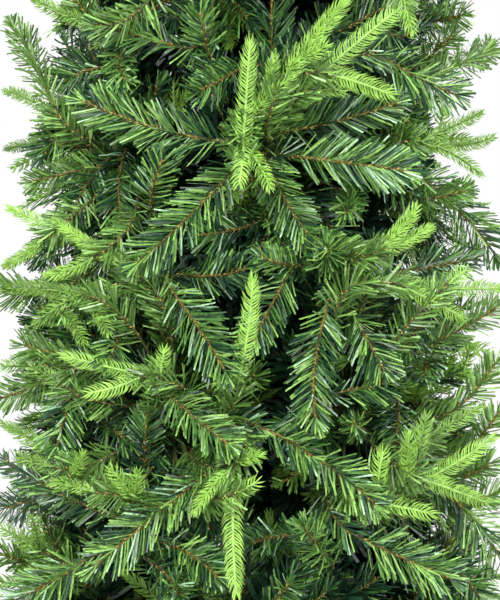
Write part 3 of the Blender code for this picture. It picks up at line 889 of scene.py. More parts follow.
# For each row of a moulded arm's needles: the turn round the rib in degrees, the size and the gap, as
# shares. A row at one side has its mirror image at the other
UPRIGHT = 90
LIME_ROWS = ((2, 1.0, 1.0), (30, 0.98, 1.2), (62, 0.90, 1.7), (UPRIGHT, 0.80, 2.4), (-45, 0.85, 2.2))
COMB_ROWS = ((3, 1.10, 0.9), (-24, 1.0, 1.4))
OLIVE_ROWS = ((4, 1.0, 1.0), (32, 0.95, 1.6), (UPRIGHT, 0.80, 3.0), (-35, 0.90, 2.0))
COMB_SHARE = 0.5
STRIP = Pattern(6, ((0, 1, 3, 2), (2, 3, 5, 4)))
NEEDLE = Pattern(7, ((0, 1, 4, 3), (1, 2, 5, 4)), ((3, 4, 6), (4, 5, 6)))
BARB = Pattern(4, (), ((0, 1, 3), (1, 2, 3), (2, 0, 3)))
WIRE_SIDES = 4
LEAST_LENGTH = 1e-9


@lru_cache(maxsize=None)
def wire_pattern(rings):
    """A wire of square section, closed at both ends."""
    quads = [(3, 2, 1, 0)]
    for ring in range(rings - 1):
        for side in range(WIRE_SIDES):
            near, far = ring * WIRE_SIDES, (ring + 1) * WIRE_SIDES
            after = (side + 1) % WIRE_SIDES
            quads.append((near + side, near + after, far + after, far + side))
    last = (rings - 1) * WIRE_SIDES
    quads.append((last, last + 1, last + 2, last + 3))
    return Pattern(rings * WIRE_SIDES, tuple(quads))


class Joined:
    """Gathers many small shapes of one kind, and joins them into pieces that aren't too large."""

    def __init__(self):
        self.parts = []

    def add(self, corners, pattern):
        """Corners is an array of shapes by corners by three."""
        count = len(corners)
        if not count:
            return
        offsets = (np.arange(count) * pattern.corners)[:, None, None]
        quads = np.array(pattern.quads, np.int64).reshape(1, -1, 4) + offsets
        triangles = np.array(pattern.triangles, np.int64).reshape(1, -1, 3) + offsets
        self.parts.append((corners.reshape(-1, 3), quads.reshape(-1, 4), triangles.reshape(-1, 3)))

    def pieces(self, name, material, slot="needles"):
        """The joined meshes, of which those of needles stand for all the masses."""
        nodes = [mass.node for mass in masses()] if slot == "needles" else ()
        groups, size = [[]], 0
        for part in self.parts:
            triangles = 2 * len(part[1]) + len(part[2])
            if size + triangles > PIECE_LIMIT:
                groups.append([])
                size = 0
            groups[-1].append(part)
            size += triangles
        for number, group in enumerate(groups):
            label = name if len(groups) == 1 else f"{name}_{number + 1}"
            finish_piece(mesh_of_arrays(label, group), label, material, nodes)


def mesh_of_arrays(name, parts):
    """One mesh of several parts, each of which is points, quads and triangles."""
    starts = np.cumsum([0] + [len(points) for points, _, _ in parts[:-1]])
    points = np.concatenate([points for points, _, _ in parts])
    quads = np.concatenate([quads + start for (_, quads, _), start in zip(parts, starts)])
    triangles = np.concatenate([triangles + start for (_, _, triangles), start in zip(parts, starts)])
    sizes = np.concatenate([np.full(len(quads), 4), np.full(len(triangles), 3)])
    mesh = bpy.data.meshes.new(name)
    mesh.vertices.add(len(points))
    mesh.vertices.foreach_set("co", points.astype(np.float32).ravel())
    mesh.loops.add(int(sizes.sum()))
    corners = np.concatenate([quads.ravel(), triangles.ravel()])
    mesh.loops.foreach_set("vertex_index", corners.astype(np.int32))
    mesh.polygons.add(len(sizes))
    mesh.polygons.foreach_set("loop_start", (np.cumsum(sizes) - sizes).astype(np.int32))
    mesh.update(calc_edges=True)
    mesh.validate()
    mesh.shade_smooth()
    return mesh


def placed(name, data):
    """A new object in the scene."""
    made = bpy.data.objects.new(name, data)
    bpy.context.scene.collection.objects.link(made)
    return made


def finish_piece(mesh, name, material, nodes=()):
    """Makes the mesh a piece that rides on the tree's one body, and stands for the nodes named."""
    made = placed(name, mesh)
    mesh.materials.append(material)
    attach(made, ROOT)
    if nodes:
        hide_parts(*nodes)


def normalised(vectors):
    return vectors / np.maximum(np.linalg.norm(vectors, axis=-1, keepdims=True), LEAST_LENGTH)


def between(first, second, angles):
    """The ways at these angles from the first towards the second."""
    return np.cos(angles)[:, None] * first + np.sin(angles)[:, None] * second


def along_spray(spray, shares):
    """Places on the spray's wire, with the way along it, across its flat side and out of it."""
    root, middle, end = (np.array(point) for point in (spray.root, spray.middle, spray.end))
    control = 2 * middle - (root + end) / 2
    share = shares[..., None]
    along = normalised((1 - share) * (control - root) + share * (end - control))
    across = normalised(np.cross(along, np.array(spray.face)))
    return on_curve(root, middle, end, share), along, across, np.cross(across, along)


def wire_corners(places, across, out, radii):
    """The corners of one wire of square section through these places."""
    turns = np.arange(WIRE_SIDES) * math.tau / WIRE_SIDES
    ring = across[:, None] * np.cos(turns)[None, :, None] + out[:, None] * np.sin(turns)[None, :, None]
    return (places[:, None] + ring * radii[:, None, None]).reshape(1, -1, 3)


def bevelled(shape, edges, width):
    bmesh.ops.bevel(
        shape,
        geom=edges,
        offset=width,
        segments=2,
        profile=0.5,
        affect="EDGES",
        material=-1,
        clamp_overlap=True,
    )


def mesh_of_bmesh(name, shape):
    mesh = bpy.data.meshes.new(name)
    shape.to_mesh(mesh)
    shape.free()
    return mesh


# Finishes


class Value:
    """A node's output, on which sums and products add Math nodes."""

    def __init__(self, finish, socket):
        self.finish = finish
        self.socket = socket

    def _math(self, operation, first, second):
        inputs = {"Value": first, "Value_001": second}
        return self.finish.node("ShaderNodeMath", {"operation": operation}, inputs)

    def __add__(self, other):
        return self._math("ADD", self, other)

    def __mul__(self, other):
        return self._math("MULTIPLY", self, other)

    __radd__ = __add__
    __rmul__ = __mul__


class Finish:
    """A material with one Principled shader, and one way to add any other node."""

    def __init__(self, name, roughness, metallic, specular):
        self.material = bpy.data.materials.new(name)
        self.material.use_nodes = True
        self.tree = self.material.node_tree
        self.shader = self.tree.nodes["Principled BSDF"]
        self.shader.inputs["Roughness"].default_value = roughness
        self.shader.inputs["Metallic"].default_value = metallic
        self.shader.inputs["Specular IOR Level"].default_value = specular

    def node(self, kind, settings, inputs, output=None):
        made = self.tree.nodes.new(kind)
        for name, value in settings.items():
            setattr(made, name, value)
        for name, value in inputs.items():
            socket = next(s for s in made.inputs if name in (s.identifier, s.name))
            if isinstance(value, Value):
                self.tree.links.new(value.socket, socket)
            else:
                socket.default_value = value
        found = made.outputs[0] if output is None else next(s for s in made.outputs if s.identifier == output)
        return Value(self, found)

    def noise(self, scale, detail):
        place = self.node("ShaderNodeTexCoord", {}, {}, "Object")
        inputs = {"Vector": place, "Scale": scale, "Detail": detail, "Roughness": 0.5}
        return self.node("ShaderNodeTexNoise", {}, inputs, "Fac")

    def mix(self, share, first, second):
        inputs = {"Factor_Float": share, "A_Color": (*first, 1.0), "B_Color": (*second, 1.0)}
        return self.node("ShaderNodeMix", {"data_type": "RGBA"}, inputs, "Result_Color")

    def ramp(self, share, stops, colours):
        """From the first colour to the second between the two stops."""
        made = self.node("ShaderNodeValToRGB", {}, {"Fac": share})
        for element, place, colour in zip(made.socket.node.color_ramp.elements, stops, colours):
            element.position = place
            element.color = (*colour, 1.0)
        return made

    def bump(self, height, distance, strength):
        inputs = {"Height": height, "Distance": distance, "Strength": strength}
        self.link("Normal", self.node("ShaderNodeBump", {}, inputs))

    def link(self, name, value):
        self.tree.links.new(value.socket, self.shader.inputs[name])


def varied(name, colours, stops, patch, rough=(), relief=(), roughness=0.5, metallic=0.0, specular=0.5):
    """A material of two colours in patches. Patch is the scale and the detail of their noise. Rough adds
    to these how far the roughness spreads and its least, and relief its depth and its strength."""
    finish = Finish(name, roughness, metallic, specular)
    finish.link("Base Color", finish.ramp(finish.noise(*patch), stops, colours))
    if rough:
        scale, detail, spread, least = rough
        finish.link("Roughness", finish.noise(scale, detail) * spread + least)
    if relief:
        scale, detail, distance, strength = relief
        finish.bump(finish.noise(scale, detail), distance, strength)
    return finish.material


def tinted(colour, share, lift=0.0):
    return [min(channel * share + lift, 1.0) for channel in colour]


def needle_finish(name, colour, depth, roughness, scale=260.0):
    """Coloured plastic whose shade changes a little from needle to needle."""
    colours = (tinted(colour, 1 - depth), tinted(colour, 1 + depth * 0.8))
    rough = (scale * 0.7, 1.0, 0.25, roughness - 0.12)
    return varied(name, colours, (0.32, 0.68), (scale, 1.0), rough, roughness=roughness)


def wire_finish(name, colour, dark):
    """Brown wire and the ends of film that are twisted in it."""
    relief = (1500.0, 2.0, 0.0003, 0.6)
    return varied(
        name, (dark, colour), (0.36, 0.62), (420.0, 2.0), relief=relief, roughness=0.6, specular=0.35
    )


def paint_finish(name, colour):
    """Satin paint on steel, with a fine orange peel and rubbed patches."""
    rough, relief = (90.0, 3.0, 0.25, 0.28), (900.0, 2.0, 0.0002, 0.35)
    return varied(name, (colour, tinted(colour, 1.5, 0.006)), (0.38, 0.74), (38.0, 4.0), rough, relief, 0.42)


def rubber_finish(name, colour):
    """Matt rubber with some dust on it."""
    rough, relief = (140.0, 3.0, 0.2, 0.66), (1400.0, 3.0, 0.0002, 0.5)
    colours = (colour, tinted(colour, 1.9, 0.01))
    return varied(name, colours, (0.40, 0.80), (60.0, 4.0), rough, relief, 0.78, specular=0.3)


def zinc_finish(name, colour):
    """Zinc plating, dull in patches."""
    rough, relief = (320.0, 2.0, 0.3, 0.22), (1200.0, 2.0, 0.00015, 0.4)
    return varied(name, (tinted(colour, 0.72), colour), (0.40, 0.66), (120.0, 3.0), rough, relief, 0.34, 0.95)


def wrap_finish(name, colour):
    """Green film wound on a bough's wire, darker in random patches."""
    rough, relief = (500.0, 2.0, 0.25, 0.4), (1600.0, 2.0, 0.0003, 0.5)
    return varied(name, (tinted(colour, 0.45), colour), (0.34, 0.66), (300.0, 3.0), rough, relief)


# What a user would change


def length_setting(name, description, default):
    return FloatProperty(name=name, description=description, default=default, unit="LENGTH")


def colour_setting(name, description, *default):
    return FloatVectorProperty(name=name, description=description, default=default, subtype="COLOR")


class FilmSizes(bpy.types.PropertyGroup):
    """The cut film tips."""

    strip_spacing: length_setting("Strip spacing", "Wire per strip", 0.00080)
    strip_width: length_setting("Strip width", "Width of a strip", 0.00148)
    # Painted shade: the dark film of tips deep in the crown and on the boughs' wires
    shade: colour_setting("Inner green", "Film near the pole", 0.005, 0.022, 0.009)
    deep: colour_setting("Deep green", "Darkest film", 0.014, 0.056, 0.023)
    green: colour_setting("Middle green", "Middle film", 0.070, 0.185, 0.035)
    bright: colour_setting("Bright green", "Lightest film", 0.220, 0.420, 0.092)
    # Painted sheen: pale strips that stand in for highlights on the film
    frosted: colour_setting("Painted_sheen green", "Film with a pale sheen", 0.340, 0.560, 0.330)
    short: colour_setting("Short tips' green", "Film of the short tips", 0.085, 0.185, 0.030)


class SprigSizes(bpy.types.PropertyGroup):
    """The moulded sprigs."""

    needle_pitch: length_setting("Needle pitch", "Rib between two needles of a row", 0.0033)
    needle_width: length_setting("Needle width", "Width of a needle at its root", 0.0013)
    lime: colour_setting("Lime", "Light moulded sprigs", 0.250, 0.475, 0.064)
    olive: colour_setting("Olive", "Darker moulded sprigs", 0.155, 0.315, 0.038)
    lime_rib: colour_setting("Lime ribs", "Ribs of the light sprigs", 0.310, 0.530, 0.110)
    olive_rib: colour_setting("Olive ribs", "Ribs of the darker sprigs", 0.070, 0.130, 0.020)


class WireSizes(bpy.types.PropertyGroup):
    """The wires that carry the tips."""

    stem_radius: length_setting("Stem radius", "Twisted wire", 0.0014)
    barb_length: length_setting("Barb length", "Film ends on it", 0.0050)
    barb_pitch: length_setting("Barb pitch", "Wire per barb", 0.0030)
    brown: colour_setting("Brown", "Twisted wire", 0.185, 0.135, 0.024)
    amber: colour_setting("Amber", "Film ends in the wire", 0.500, 0.375, 0.075)
    dark_brown: colour_setting("Dark brown", "Wire in the folds", 0.060, 0.046, 0.012)
    wrap: colour_setting("Bough wrap", "Film wound on the boughs", 0.045, 0.085, 0.025)


class StandSizes(bpy.types.PropertyGroup):
    """The pole and the stand."""

    paint: colour_setting("Paint", "Pole and stand", 0.020, 0.060, 0.028)
    rubber: colour_setting("Rubber", "Boots", 0.020, 0.020, 0.020)
    zinc: colour_setting("Zinc", "Screws", 0.560, 0.560, 0.550)
    edge: length_setting("Edge radius", "Folded edges", 0.0008)
    lip: length_setting("Lip", "Rolled edge of a tube", 0.0007)
    rim: length_setting("Rim", "How far a boot's rim stands out", 0.0009)
    steps: IntProperty(name="Steps", description="Steps round a turned piece", default=40)


class StageSizes(bpy.types.PropertyGroup):
    """The floor, the lights and the camera."""

    floor_radius: length_setting("Floor radius", "Pale floor", 1.25)
    key_power: FloatProperty(name="Key light", description="Watts", default=136.0)
    fill_power: FloatProperty(name="Fill light", description="Watts", default=66.0)
    back_power: FloatProperty(name="Back lights", description="Watts", default=122.0)
    top_power: FloatProperty(name="Top light", description="Watts", default=40.0)
    sky: FloatProperty(name="Sky", description="Strength of the even light", default=0.07)


# The operators


# A film tip's strips. In a pair of tuples, the first is places along the wire, as shares of its length,
# and the second is the values there
LEAST_STRIPS = 24
SHORT_TIP_STRIPS = 1.2
BARE_WIRE = 0.06
CROWDING = 0.9
TUFT_PART = 9
TUFT_SPAN = 0.03
TUFT_START = 0.95
END_ON = 0.8
LOOSE_SHARE = 0.30
STRIP_LEANS = ((0.0, 0.8, 0.95, 1.0), np.radians((58, 43, 34, 22)))
STRIP_REACHES = ((0, 0.15, 0.78, 1), (0.72, 1, 1, END_NEEDLE_SHARE))
STRIP_RANGE = (0.80, 1.05)
STRIP_WIDTH_RANGE = (0.8, 1.15)
STRIP_BREADTHS = {"short": 1.05, "shade": SHADE_BREADTH}
LEAN_SPREAD, TUFT_SPREAD, SIDE_SPREAD, TWIST_SPREAD, SAG_SPREAD = 0.09, 0.25, 0.50, 0.75, 0.045
STRIP_ROOT, STRIP_FOLD, STRIP_SWEEP, STRIP_SLANT = 0.7, 0.52, 0.03, 0.9
# How much of a deep spray's film is the dark green of painted shade, and how much of a short tip's is its own
# green
SHADE_GREEN_SHARE = 0.7
SHORT_GREEN_SHARE = 0.74
NUDGE = 1e-6


def film_strips(spray, sizes, draw):
    """The corners of one film tip's strips, and a number from 0 to 1 for each that deals it its green."""
    length = (spray.end - spray.root).length
    crowding = SHORT_TIP_STRIPS if spray.kind == "short" else 1.0
    count = max(int(length / sizes.strip_spacing * spray.fullness * crowding), LEAST_STRIPS)
    end_on = abs((spray.end - spray.root).normalized().dot(spray.face)) > END_ON
    shares = (np.arange(count) + draw.random(count)) / count
    shares = BARE_WIRE + (1 - BARE_WIRE) * shares**CROWDING
    tuft = len(shares[-count // TUFT_PART :])
    shares[-tuft:] = 1 - TUFT_SPAN * draw.random(tuft)
    places, along, across, out = along_spray(spray, shares)
    lean = np.interp(shares, *STRIP_LEANS) + draw.normal(0, LEAN_SPREAD, count)
    lean += (shares > TUFT_START) * draw.normal(0, TUFT_SPREAD, count)
    sides = np.pi * draw.integers(0, 2, count) + draw.normal(0, SIDE_SPREAD, count)
    loose = draw.random(count) < (1.0 if end_on or spray.kind == "shade" else LOOSE_SHARE)
    turn = np.where(loose, draw.random(count) * math.tau, sides)
    way = normalised(between(along, between(across, out, turn), lean))
    reach = spray.needle * draw.uniform(*STRIP_RANGE, count) * np.interp(shares, *STRIP_REACHES)
    reach = reach[:, None]
    flat = normalised(np.cross(way, out) + NUDGE)
    other = np.cross(flat, way)
    width_way = between(flat, other, draw.normal(0, TWIST_SPREAD, count))
    breadth = sizes.strip_width * STRIP_BREADTHS.get(spray.kind, 1.0)
    width = breadth * draw.uniform(*STRIP_WIDTH_RANGE, count)[:, None] / 2
    sag = other * draw.normal(0, SAG_SPREAD, count)[:, None] * reach
    middle = places + way * reach * STRIP_FOLD + sag
    finish = places + way * reach + along * reach * STRIP_SWEEP
    slant = way * width * draw.uniform(-STRIP_SLANT, STRIP_SLANT, count)[:, None]
    corners = (
        places - width_way * width * STRIP_ROOT,
        places + width_way * width * STRIP_ROOT,
        middle - width_way * width,
        middle + width_way * width,
        finish - width_way * width - slant,
        finish + width_way * width + slant,
    )
    return np.stack(corners, axis=1), draw.random(count)


# A moulded arm's needles. An arm in the front view has the finer ones, which have a ridge
LEAST_NEEDLES = 4
PLAIN_PITCH, PLAIN_WIDTH, PLAIN_TIP = 1.5, 1.3, 0.25
BARE_RIB, RIB_SHARE = 0.04, 0.95
NEEDLE_LEANS = ((0, 0.80, 1.0), np.radians((60, 52, 16)))
SMALL_LEANS = ((0.8, 1), (0.85, 1))
NEEDLE_REACHES = ((0, 0.12, 0.8, 1), (0.7, 1, 1, 0.75))
NEEDLE_SIZE_RANGE = (0.98, 1.18)
NEEDLE_CURVE = 0.58
GAP_SPREAD, ROW_SPREAD, NEEDLE_LEAN_SPREAD, NEEDLE_TWIST = 0.08, 0.09, 0.05, 0.35
ROOT_RIDGE, MIDDLE_RIDGE, MIDDLE_WIDTH = 0.8, 0.7, 0.95


def arm_needles(spray, sizes, draw):
    """The needles of one moulded arm, curved towards its end. Most of them lie flat at its two sides."""
    pitch = sizes.needle_pitch * (1.0 if spray.carrier else PLAIN_PITCH)
    length = (spray.end - spray.root).length
    rows = OLIVE_ROWS
    if spray.kind == "lime":
        rows = COMB_ROWS if draw.random() < COMB_SHARE else LIME_ROWS
    shares, turn, size = [], [], []
    for row_turn, row_size, row_gap in rows:
        steps = max(int(length / (pitch * row_gap)), LEAST_NEEDLES)
        for degrees in (row_turn,) if row_turn == UPRIGHT else (row_turn, 180 - row_turn):
            shares.append((np.arange(steps) + draw.random() + draw.normal(0, GAP_SPREAD, steps)) / steps)
            turn.append(math.radians(degrees) + draw.normal(0, ROW_SPREAD, steps))
            size.append(np.full(steps, row_size))
    shares, turn, size = (np.concatenate(parts) for parts in (shares, turn, size))
    shares = np.clip(BARE_RIB + RIB_SHARE * shares, 0, 1)
    lean = np.interp(shares, *NEEDLE_LEANS) * np.interp(size, *SMALL_LEANS)
    lean += draw.normal(0, NEEDLE_LEAN_SPREAD, len(lean))
    places, along, across, out = along_spray(spray, shares)
    round_way = between(across, out, turn)
    near = between(along, round_way, lean)
    far = between(along, round_way, lean * NEEDLE_CURVE)
    reach = spray.needle * size * draw.uniform(*NEEDLE_SIZE_RANGE, len(lean))
    reach = (reach * np.interp(shares, *NEEDLE_REACHES))[:, None]
    side = normalised(np.cross(near, out) + NUDGE)
    side = normalised(side + NEEDLE_TWIST * np.cross(side, near) * draw.normal(0, 1, len(lean))[:, None])
    ridge = np.cross(side, near)
    middle = places + near * reach / 2
    tip = middle + far * reach / 2
    if not spray.carrier:
        width = side * sizes.needle_width / 2 * PLAIN_WIDTH
        blade = (places - width, places + width, middle - width, middle + width)
        return np.stack((*blade, tip - width * PLAIN_TIP, tip + width * PLAIN_TIP), axis=1), STRIP
    width = side * sizes.needle_width / 2
    height = ridge * sizes.needle_width / 2
    corners = (
        places - width,
        places + height * ROOT_RIDGE,
        places + width,
        middle - width * MIDDLE_WIDTH,
        middle + height * MIDDLE_RIDGE,
        middle + width * MIDDLE_WIDTH,
        tip,
    )
    return np.stack(corners, axis=1), NEEDLE


class TREE_OT_film_tips(bpy.types.Operator):
    """Cut the film strips of every tip, dealt out in four greens, of which the palest is a painted sheen, one
    for short tips and a dark one that paints the shade deep in the crown
    """

    bl_idname = "tree.film_tips"
    bl_label = "Film tips"

    def execute(self, context):
        sizes = context.scene.tree_film
        draw = np.random.default_rng(SEED)
        greens = {name: Joined() for name in ("shade", "deep", "green", "bright", "frosted", "short")}
        mixes = {kind: (("deep", "green", "bright", "frosted"), mix) for kind, mix in FILM_MIXES.items()}
        # Deep sprays take the dark green, as painted shade
        mixes["shade"] = (("shade", "deep"), (SHADE_GREEN_SHARE, 1 - SHADE_GREEN_SHARE))
        mixes["short"] = (("short", "bright"), (SHORT_GREEN_SHARE, 1 - SHORT_GREEN_SHARE))
        for spray in sprays():
            if spray.kind not in mixes:
                continue
            strips, dealt = film_strips(spray, sizes, draw)
            names, mix = mixes[spray.kind]
            places = np.searchsorted(np.cumsum(mix), dealt)
            for place, name in enumerate(names):
                greens[name].add(strips[places == place], STRIP)
        for name, joined in greens.items():
            material = needle_finish(f"film_{name}", getattr(sizes, name), 0.32, 0.36)
            joined.pieces(f"film_strips_{name}", material)
        return {"FINISHED"}


# The wires of tips and arms, and the barbs on them
RIB_RINGS, SEEN_RINGS, HIDDEN_RINGS = 7, 10, 6
RIB_RADII = (0.0015, 0.0009)
TWIG_BASE, STEM_TAPER = 1.2, 0.75
LEAST_BARBS = 8
BARB_TURN, BARB_TURN_SPREAD = 2.4, 0.3
BARB_LEAN, BARB_LEAN_SPREAD = 0.80, 0.14
BARB_RANGE = (0.6, 1.1)
BARB_WIDTH = 0.0011
BARB_SINK = 0.3


class TREE_OT_moulded_sprigs(bpy.types.Operator):
    """Mould the sprigs: their ribs and their curved needles, in lime and in olive"""

    bl_idname = "tree.moulded_sprigs"
    bl_label = "Moulded sprigs"

    def execute(self, context):
        sizes = context.scene.tree_sprigs
        draw = np.random.default_rng(SEED + 1)
        kinds = {"lime": Joined(), "olive": Joined()}
        ribs = {"lime": Joined(), "olive": Joined()}
        for spray in sprays():
            if spray.kind not in kinds:
                continue
            kinds[spray.kind].add(*arm_needles(spray, sizes, draw))
            places, _, across, out = along_spray(spray, np.linspace(0, 1, RIB_RINGS))
            radii = np.linspace(*RIB_RADII, RIB_RINGS)
            ribs[spray.kind].add(wire_corners(places, across, out, radii), wire_pattern(RIB_RINGS))
        for name, joined in kinds.items():
            material = needle_finish(f"moulded_{name}", getattr(sizes, name), 0.30, 0.42, 150.0)
            joined.pieces(f"moulded_sprigs_{name}", material)
            material = needle_finish(f"rib_{name}", getattr(sizes, f"{name}_rib"), 0.25, 0.50)
            ribs[name].pieces(f"sprig_ribs_{name}", material)
        return {"FINISHED"}


class TREE_OT_tip_wires(bpy.types.Operator):
    """Twist the tips' brown wires with their barbs, and wind each far one on its bough"""

    bl_idname = "tree.tip_wires"
    bl_label = "Tip wires"

    def execute(self, context):
        sizes = context.scene.tree_wires
        draw = np.random.default_rng(SEED + 2)
        stems, barbs, twigs = Joined(), Joined(), Joined()
        for spray in sprays():
            if spray.carrier:
                twig = spray._replace(root=spray.carrier, end=spray.root, middle=twig_middle(spray))
                self.add_wire(twigs, twig, TWIG_BASE * sizes.stem_radius, sizes.stem_radius)
            if spray.kind in ("lime", "olive"):
                continue
            self.add_wire(stems, spray, sizes.stem_radius, STEM_TAPER * sizes.stem_radius)
            if spray.kind != "shade":
                barbs.add(self.barbs(spray, sizes, draw), BARB)
        stems.pieces("tip_wires", wire_finish("twisted_wire", sizes.brown, sizes.dark_brown))
        barbs.pieces("tip_wire_barbs", wire_finish("film_ends", sizes.amber, sizes.brown))
        twigs.pieces("twigs", wire_finish("twig_wire", sizes.wrap, sizes.dark_brown), "bough_wrap")
        return {"FINISHED"}

    def add_wire(self, joined, spray, start_radius, end_radius):
        """One bent wire, with more rings where the front view shows it."""
        rings = SEEN_RINGS if spray.fullness > 1 else HIDDEN_RINGS
        places, _, across, out = along_spray(spray, np.linspace(0, 1, rings))
        radii = np.linspace(start_radius, end_radius, rings)
        joined.add(wire_corners(places, across, out, radii), wire_pattern(rings))

    def barbs(self, spray, sizes, draw):
        """Short stiff ends of film that stand out of the twisted wire, as an array of spikes."""
        count = max(int((spray.end - spray.root).length / sizes.barb_pitch), LEAST_BARBS)
        shares = (np.arange(count) + draw.random(count)) / count
        places, along, across, out = along_spray(spray, shares)
        turn = np.arange(count) * BARB_TURN + draw.normal(0, BARB_TURN_SPREAD, count)
        round_way = between(across, out, turn)
        way = between(along, round_way, draw.normal(BARB_LEAN, BARB_LEAN_SPREAD, count))
        side = normalised(np.cross(way, round_way) + NUDGE)
        up = np.cross(side, way)
        length = sizes.barb_length * draw.uniform(*BARB_RANGE, count)[:, None]
        base = places + round_way * sizes.stem_radius * BARB_SINK
        edge = side * BARB_WIDTH
        return np.stack((base - edge, base + edge, base + up * BARB_WIDTH, base + way * length), axis=1)


def wound_rod(name, start, end, start_radius, end_radius):
    """A rod of film wound on wire: a grid bent round it, with a ridge at each turn of the film."""
    pitch, rings_in_pitch, sides = 0.0042, 4, 12
    fold, ridge = 0.90, 0.16
    axis = end - start
    rings = int(axis.length / pitch * rings_in_pitch)
    shape = bmesh.new()
    bmesh.ops.create_grid(shape, x_segments=rings, y_segments=sides, size=0.5)
    turn = axis.to_track_quat("Z", "Y")
    for point in shape.verts:
        along, around = point.co.x + 0.5, (point.co.y + 0.5) * math.tau
        phase = (along * axis.length / pitch - around / math.tau) % 1.0
        radius = (start_radius + (end_radius - start_radius) * along) * (fold + ridge * phase)
        ring = Vector((math.cos(around), math.sin(around), 0)) * radius
        point.co = start + axis * along + turn @ ring
    bmesh.ops.remove_doubles(shape, verts=shape.verts, dist=0.00001)
    bmesh.ops.holes_fill(shape, edges=[edge for edge in shape.edges if edge.is_boundary], sides=0)
    bmesh.ops.recalc_face_normals(shape, faces=shape.faces)
    return mesh_of_bmesh(name, shape)


class TREE_OT_wound_boughs(bpy.types.Operator):
    """Wind each bough in film, from its bracket on the collar to the end of its stem"""

    bl_idname = "tree.wound_boughs"
    bl_label = "Wound boughs"

    def execute(self, context):
        sizes = context.scene.tree_wires
        wrap = wrap_finish("bough_wrap", sizes.wrap)
        for mass in masses():
            label = mass.node.replace("needles", "bough")
            nodes = [label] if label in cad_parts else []
            mesh = wound_rod(f"wound_{label}", mass.foot, mass.stem_end, BOUGH_RADIUS, STEM_END_RADIUS)
            mesh.shade_smooth()
            finish_piece(mesh, f"wound_{label}", wrap, nodes)
        return {"FINISHED"}


def turned_shape(profile, steps):
    """A bmesh of revolution about Z, from its (radius, height) profile, top to bottom."""
    shape = bmesh.new()
    points = [shape.verts.new((radius, 0, height)) for radius, height in profile]
    edges = [shape.edges.new(pair) for pair in zip(points, points[1:])]
    bmesh.ops.spin(
        shape,
        geom=points + edges,
        cent=(0, 0, 0),
        axis=(0, 0, 1),
        angle=math.tau,
        steps=steps,
        use_merge=True,
    )
    bmesh.ops.remove_doubles(shape, verts=shape.verts, dist=0.000005)
    bmesh.ops.recalc_face_normals(shape, faces=shape.faces)
    return shape


def rounded_profile(profile, radius, steps=3):
    """The profile with an arc in place of each of its inner corners."""
    made = [profile[0]]
    for before, corner, after in zip(profile, profile[1:], profile[2:]):
        here = Vector(corner)
        to_before, to_after = Vector(before) - here, Vector(after) - here
        cut = min(radius, to_before.length / 2.1, to_after.length / 2.1)
        first, last = here + to_before.normalized() * cut, here + to_after.normalized() * cut
        for step in range(steps + 1):
            share = step / steps
            point = first * (1 - share) ** 2 + here * 2 * share * (1 - share) + last * share**2
            made.append((point.x, point.y))
    made.append(profile[-1])
    return made


def smooth_but_sharp(mesh, angle=math.radians(32)):
    mesh.shade_smooth()
    mesh.set_sharp_from_angle(angle=angle)
    return mesh


class TREE_OT_pole(bpy.types.Operator):
    """Turn the pole's three swaged tubes and its collars, and pin a bracket there for each bough"""

    bl_idname = "tree.pole"
    bl_label = "Pole and brackets"

    def execute(self, context):
        sizes = context.scene.tree_stand
        paint = paint_finish("pole_paint", sizes.paint)
        mesh = smooth_but_sharp(mesh_of_bmesh("pole_tubes", self.tubes(sizes)))
        finish_piece(mesh, "pole_tubes", paint, ["pole"])
        mesh = smooth_but_sharp(mesh_of_bmesh("bough_brackets", self.brackets()))
        finish_piece(mesh, "bough_brackets", paint)
        return {"FINISHED"}

    def tubes(self, sizes):
        """The pole's tubes, each swaged into the one below, with a grooved collar for each tier."""
        swage, socket_depth, groove = 0.008, 0.0006, 0.0022
        rim, waist = COLLAR_RADIUS, COLLAR_RADIUS - groove
        steps = [(collar_height(tier), None) for tier in range(TIERS)]
        steps += [(height, POLE_RADII[section]) for section, height in enumerate(POLE_JOINTS)]
        radius = POLE_RADII[-1]
        profile = [(0, POLE_TOP), (radius, POLE_TOP)]
        for height, lower in sorted(steps, reverse=True):
            if lower is None:
                levels = (1, 1, 0.6, 0.45, -0.45, -0.6, -1, -1)
                reaches = (radius, rim, rim, waist, waist, rim, rim, radius)
                profile += [
                    (reach, height + COLLAR_HEIGHT / 2 * level) for reach, level in zip(reaches, levels)
                ]
                continue
            profile += [(radius, height + sizes.lip), (radius + sizes.lip, height)]
            profile += [(radius + sizes.lip, height - socket_depth), (lower, height - swage)]
            radius = lower
        profile += [(radius, POLE_FOOT), (0, POLE_FOOT)]
        return turned_shape(rounded_profile(profile, sizes.lip), sizes.steps)

    def brackets(self):
        """Two ears and a pin at each bough's foot."""
        shape = bmesh.new()
        ear, gap, sink = Vector((0.014, 0.0016, 0.013)), 0.0068, 0.002
        pin_radius, pin_length = 0.0017, 2 * gap + 0.006
        edge, sharp = 0.0004, 1.0
        across = Matrix.Rotation(math.pi / 2, 4, "X")
        for tier, boughs in enumerate(BOUGHS_IN_TIER):
            for sector in range(boughs):
                middle = Matrix.Translation((COLLAR_RADIUS + ear.x / 2 - sink, 0, collar_height(tier)))
                place = Matrix.Rotation(bough_azimuth(tier, sector), 4, "Z") @ middle
                for side in (-gap, gap):
                    matrix = place @ Matrix.Translation((0, side, 0)) @ Matrix.Diagonal((*ear, 1))
                    bmesh.ops.create_cube(shape, size=1.0, matrix=matrix)
                bmesh.ops.create_cone(
                    shape,
                    cap_ends=True,
                    segments=12,
                    radius1=pin_radius,
                    radius2=pin_radius,
                    depth=pin_length,
                    matrix=place @ across,
                )
        bevelled(shape, [line for line in shape.edges if line.calc_face_angle(0) > sharp], edge)
        return shape


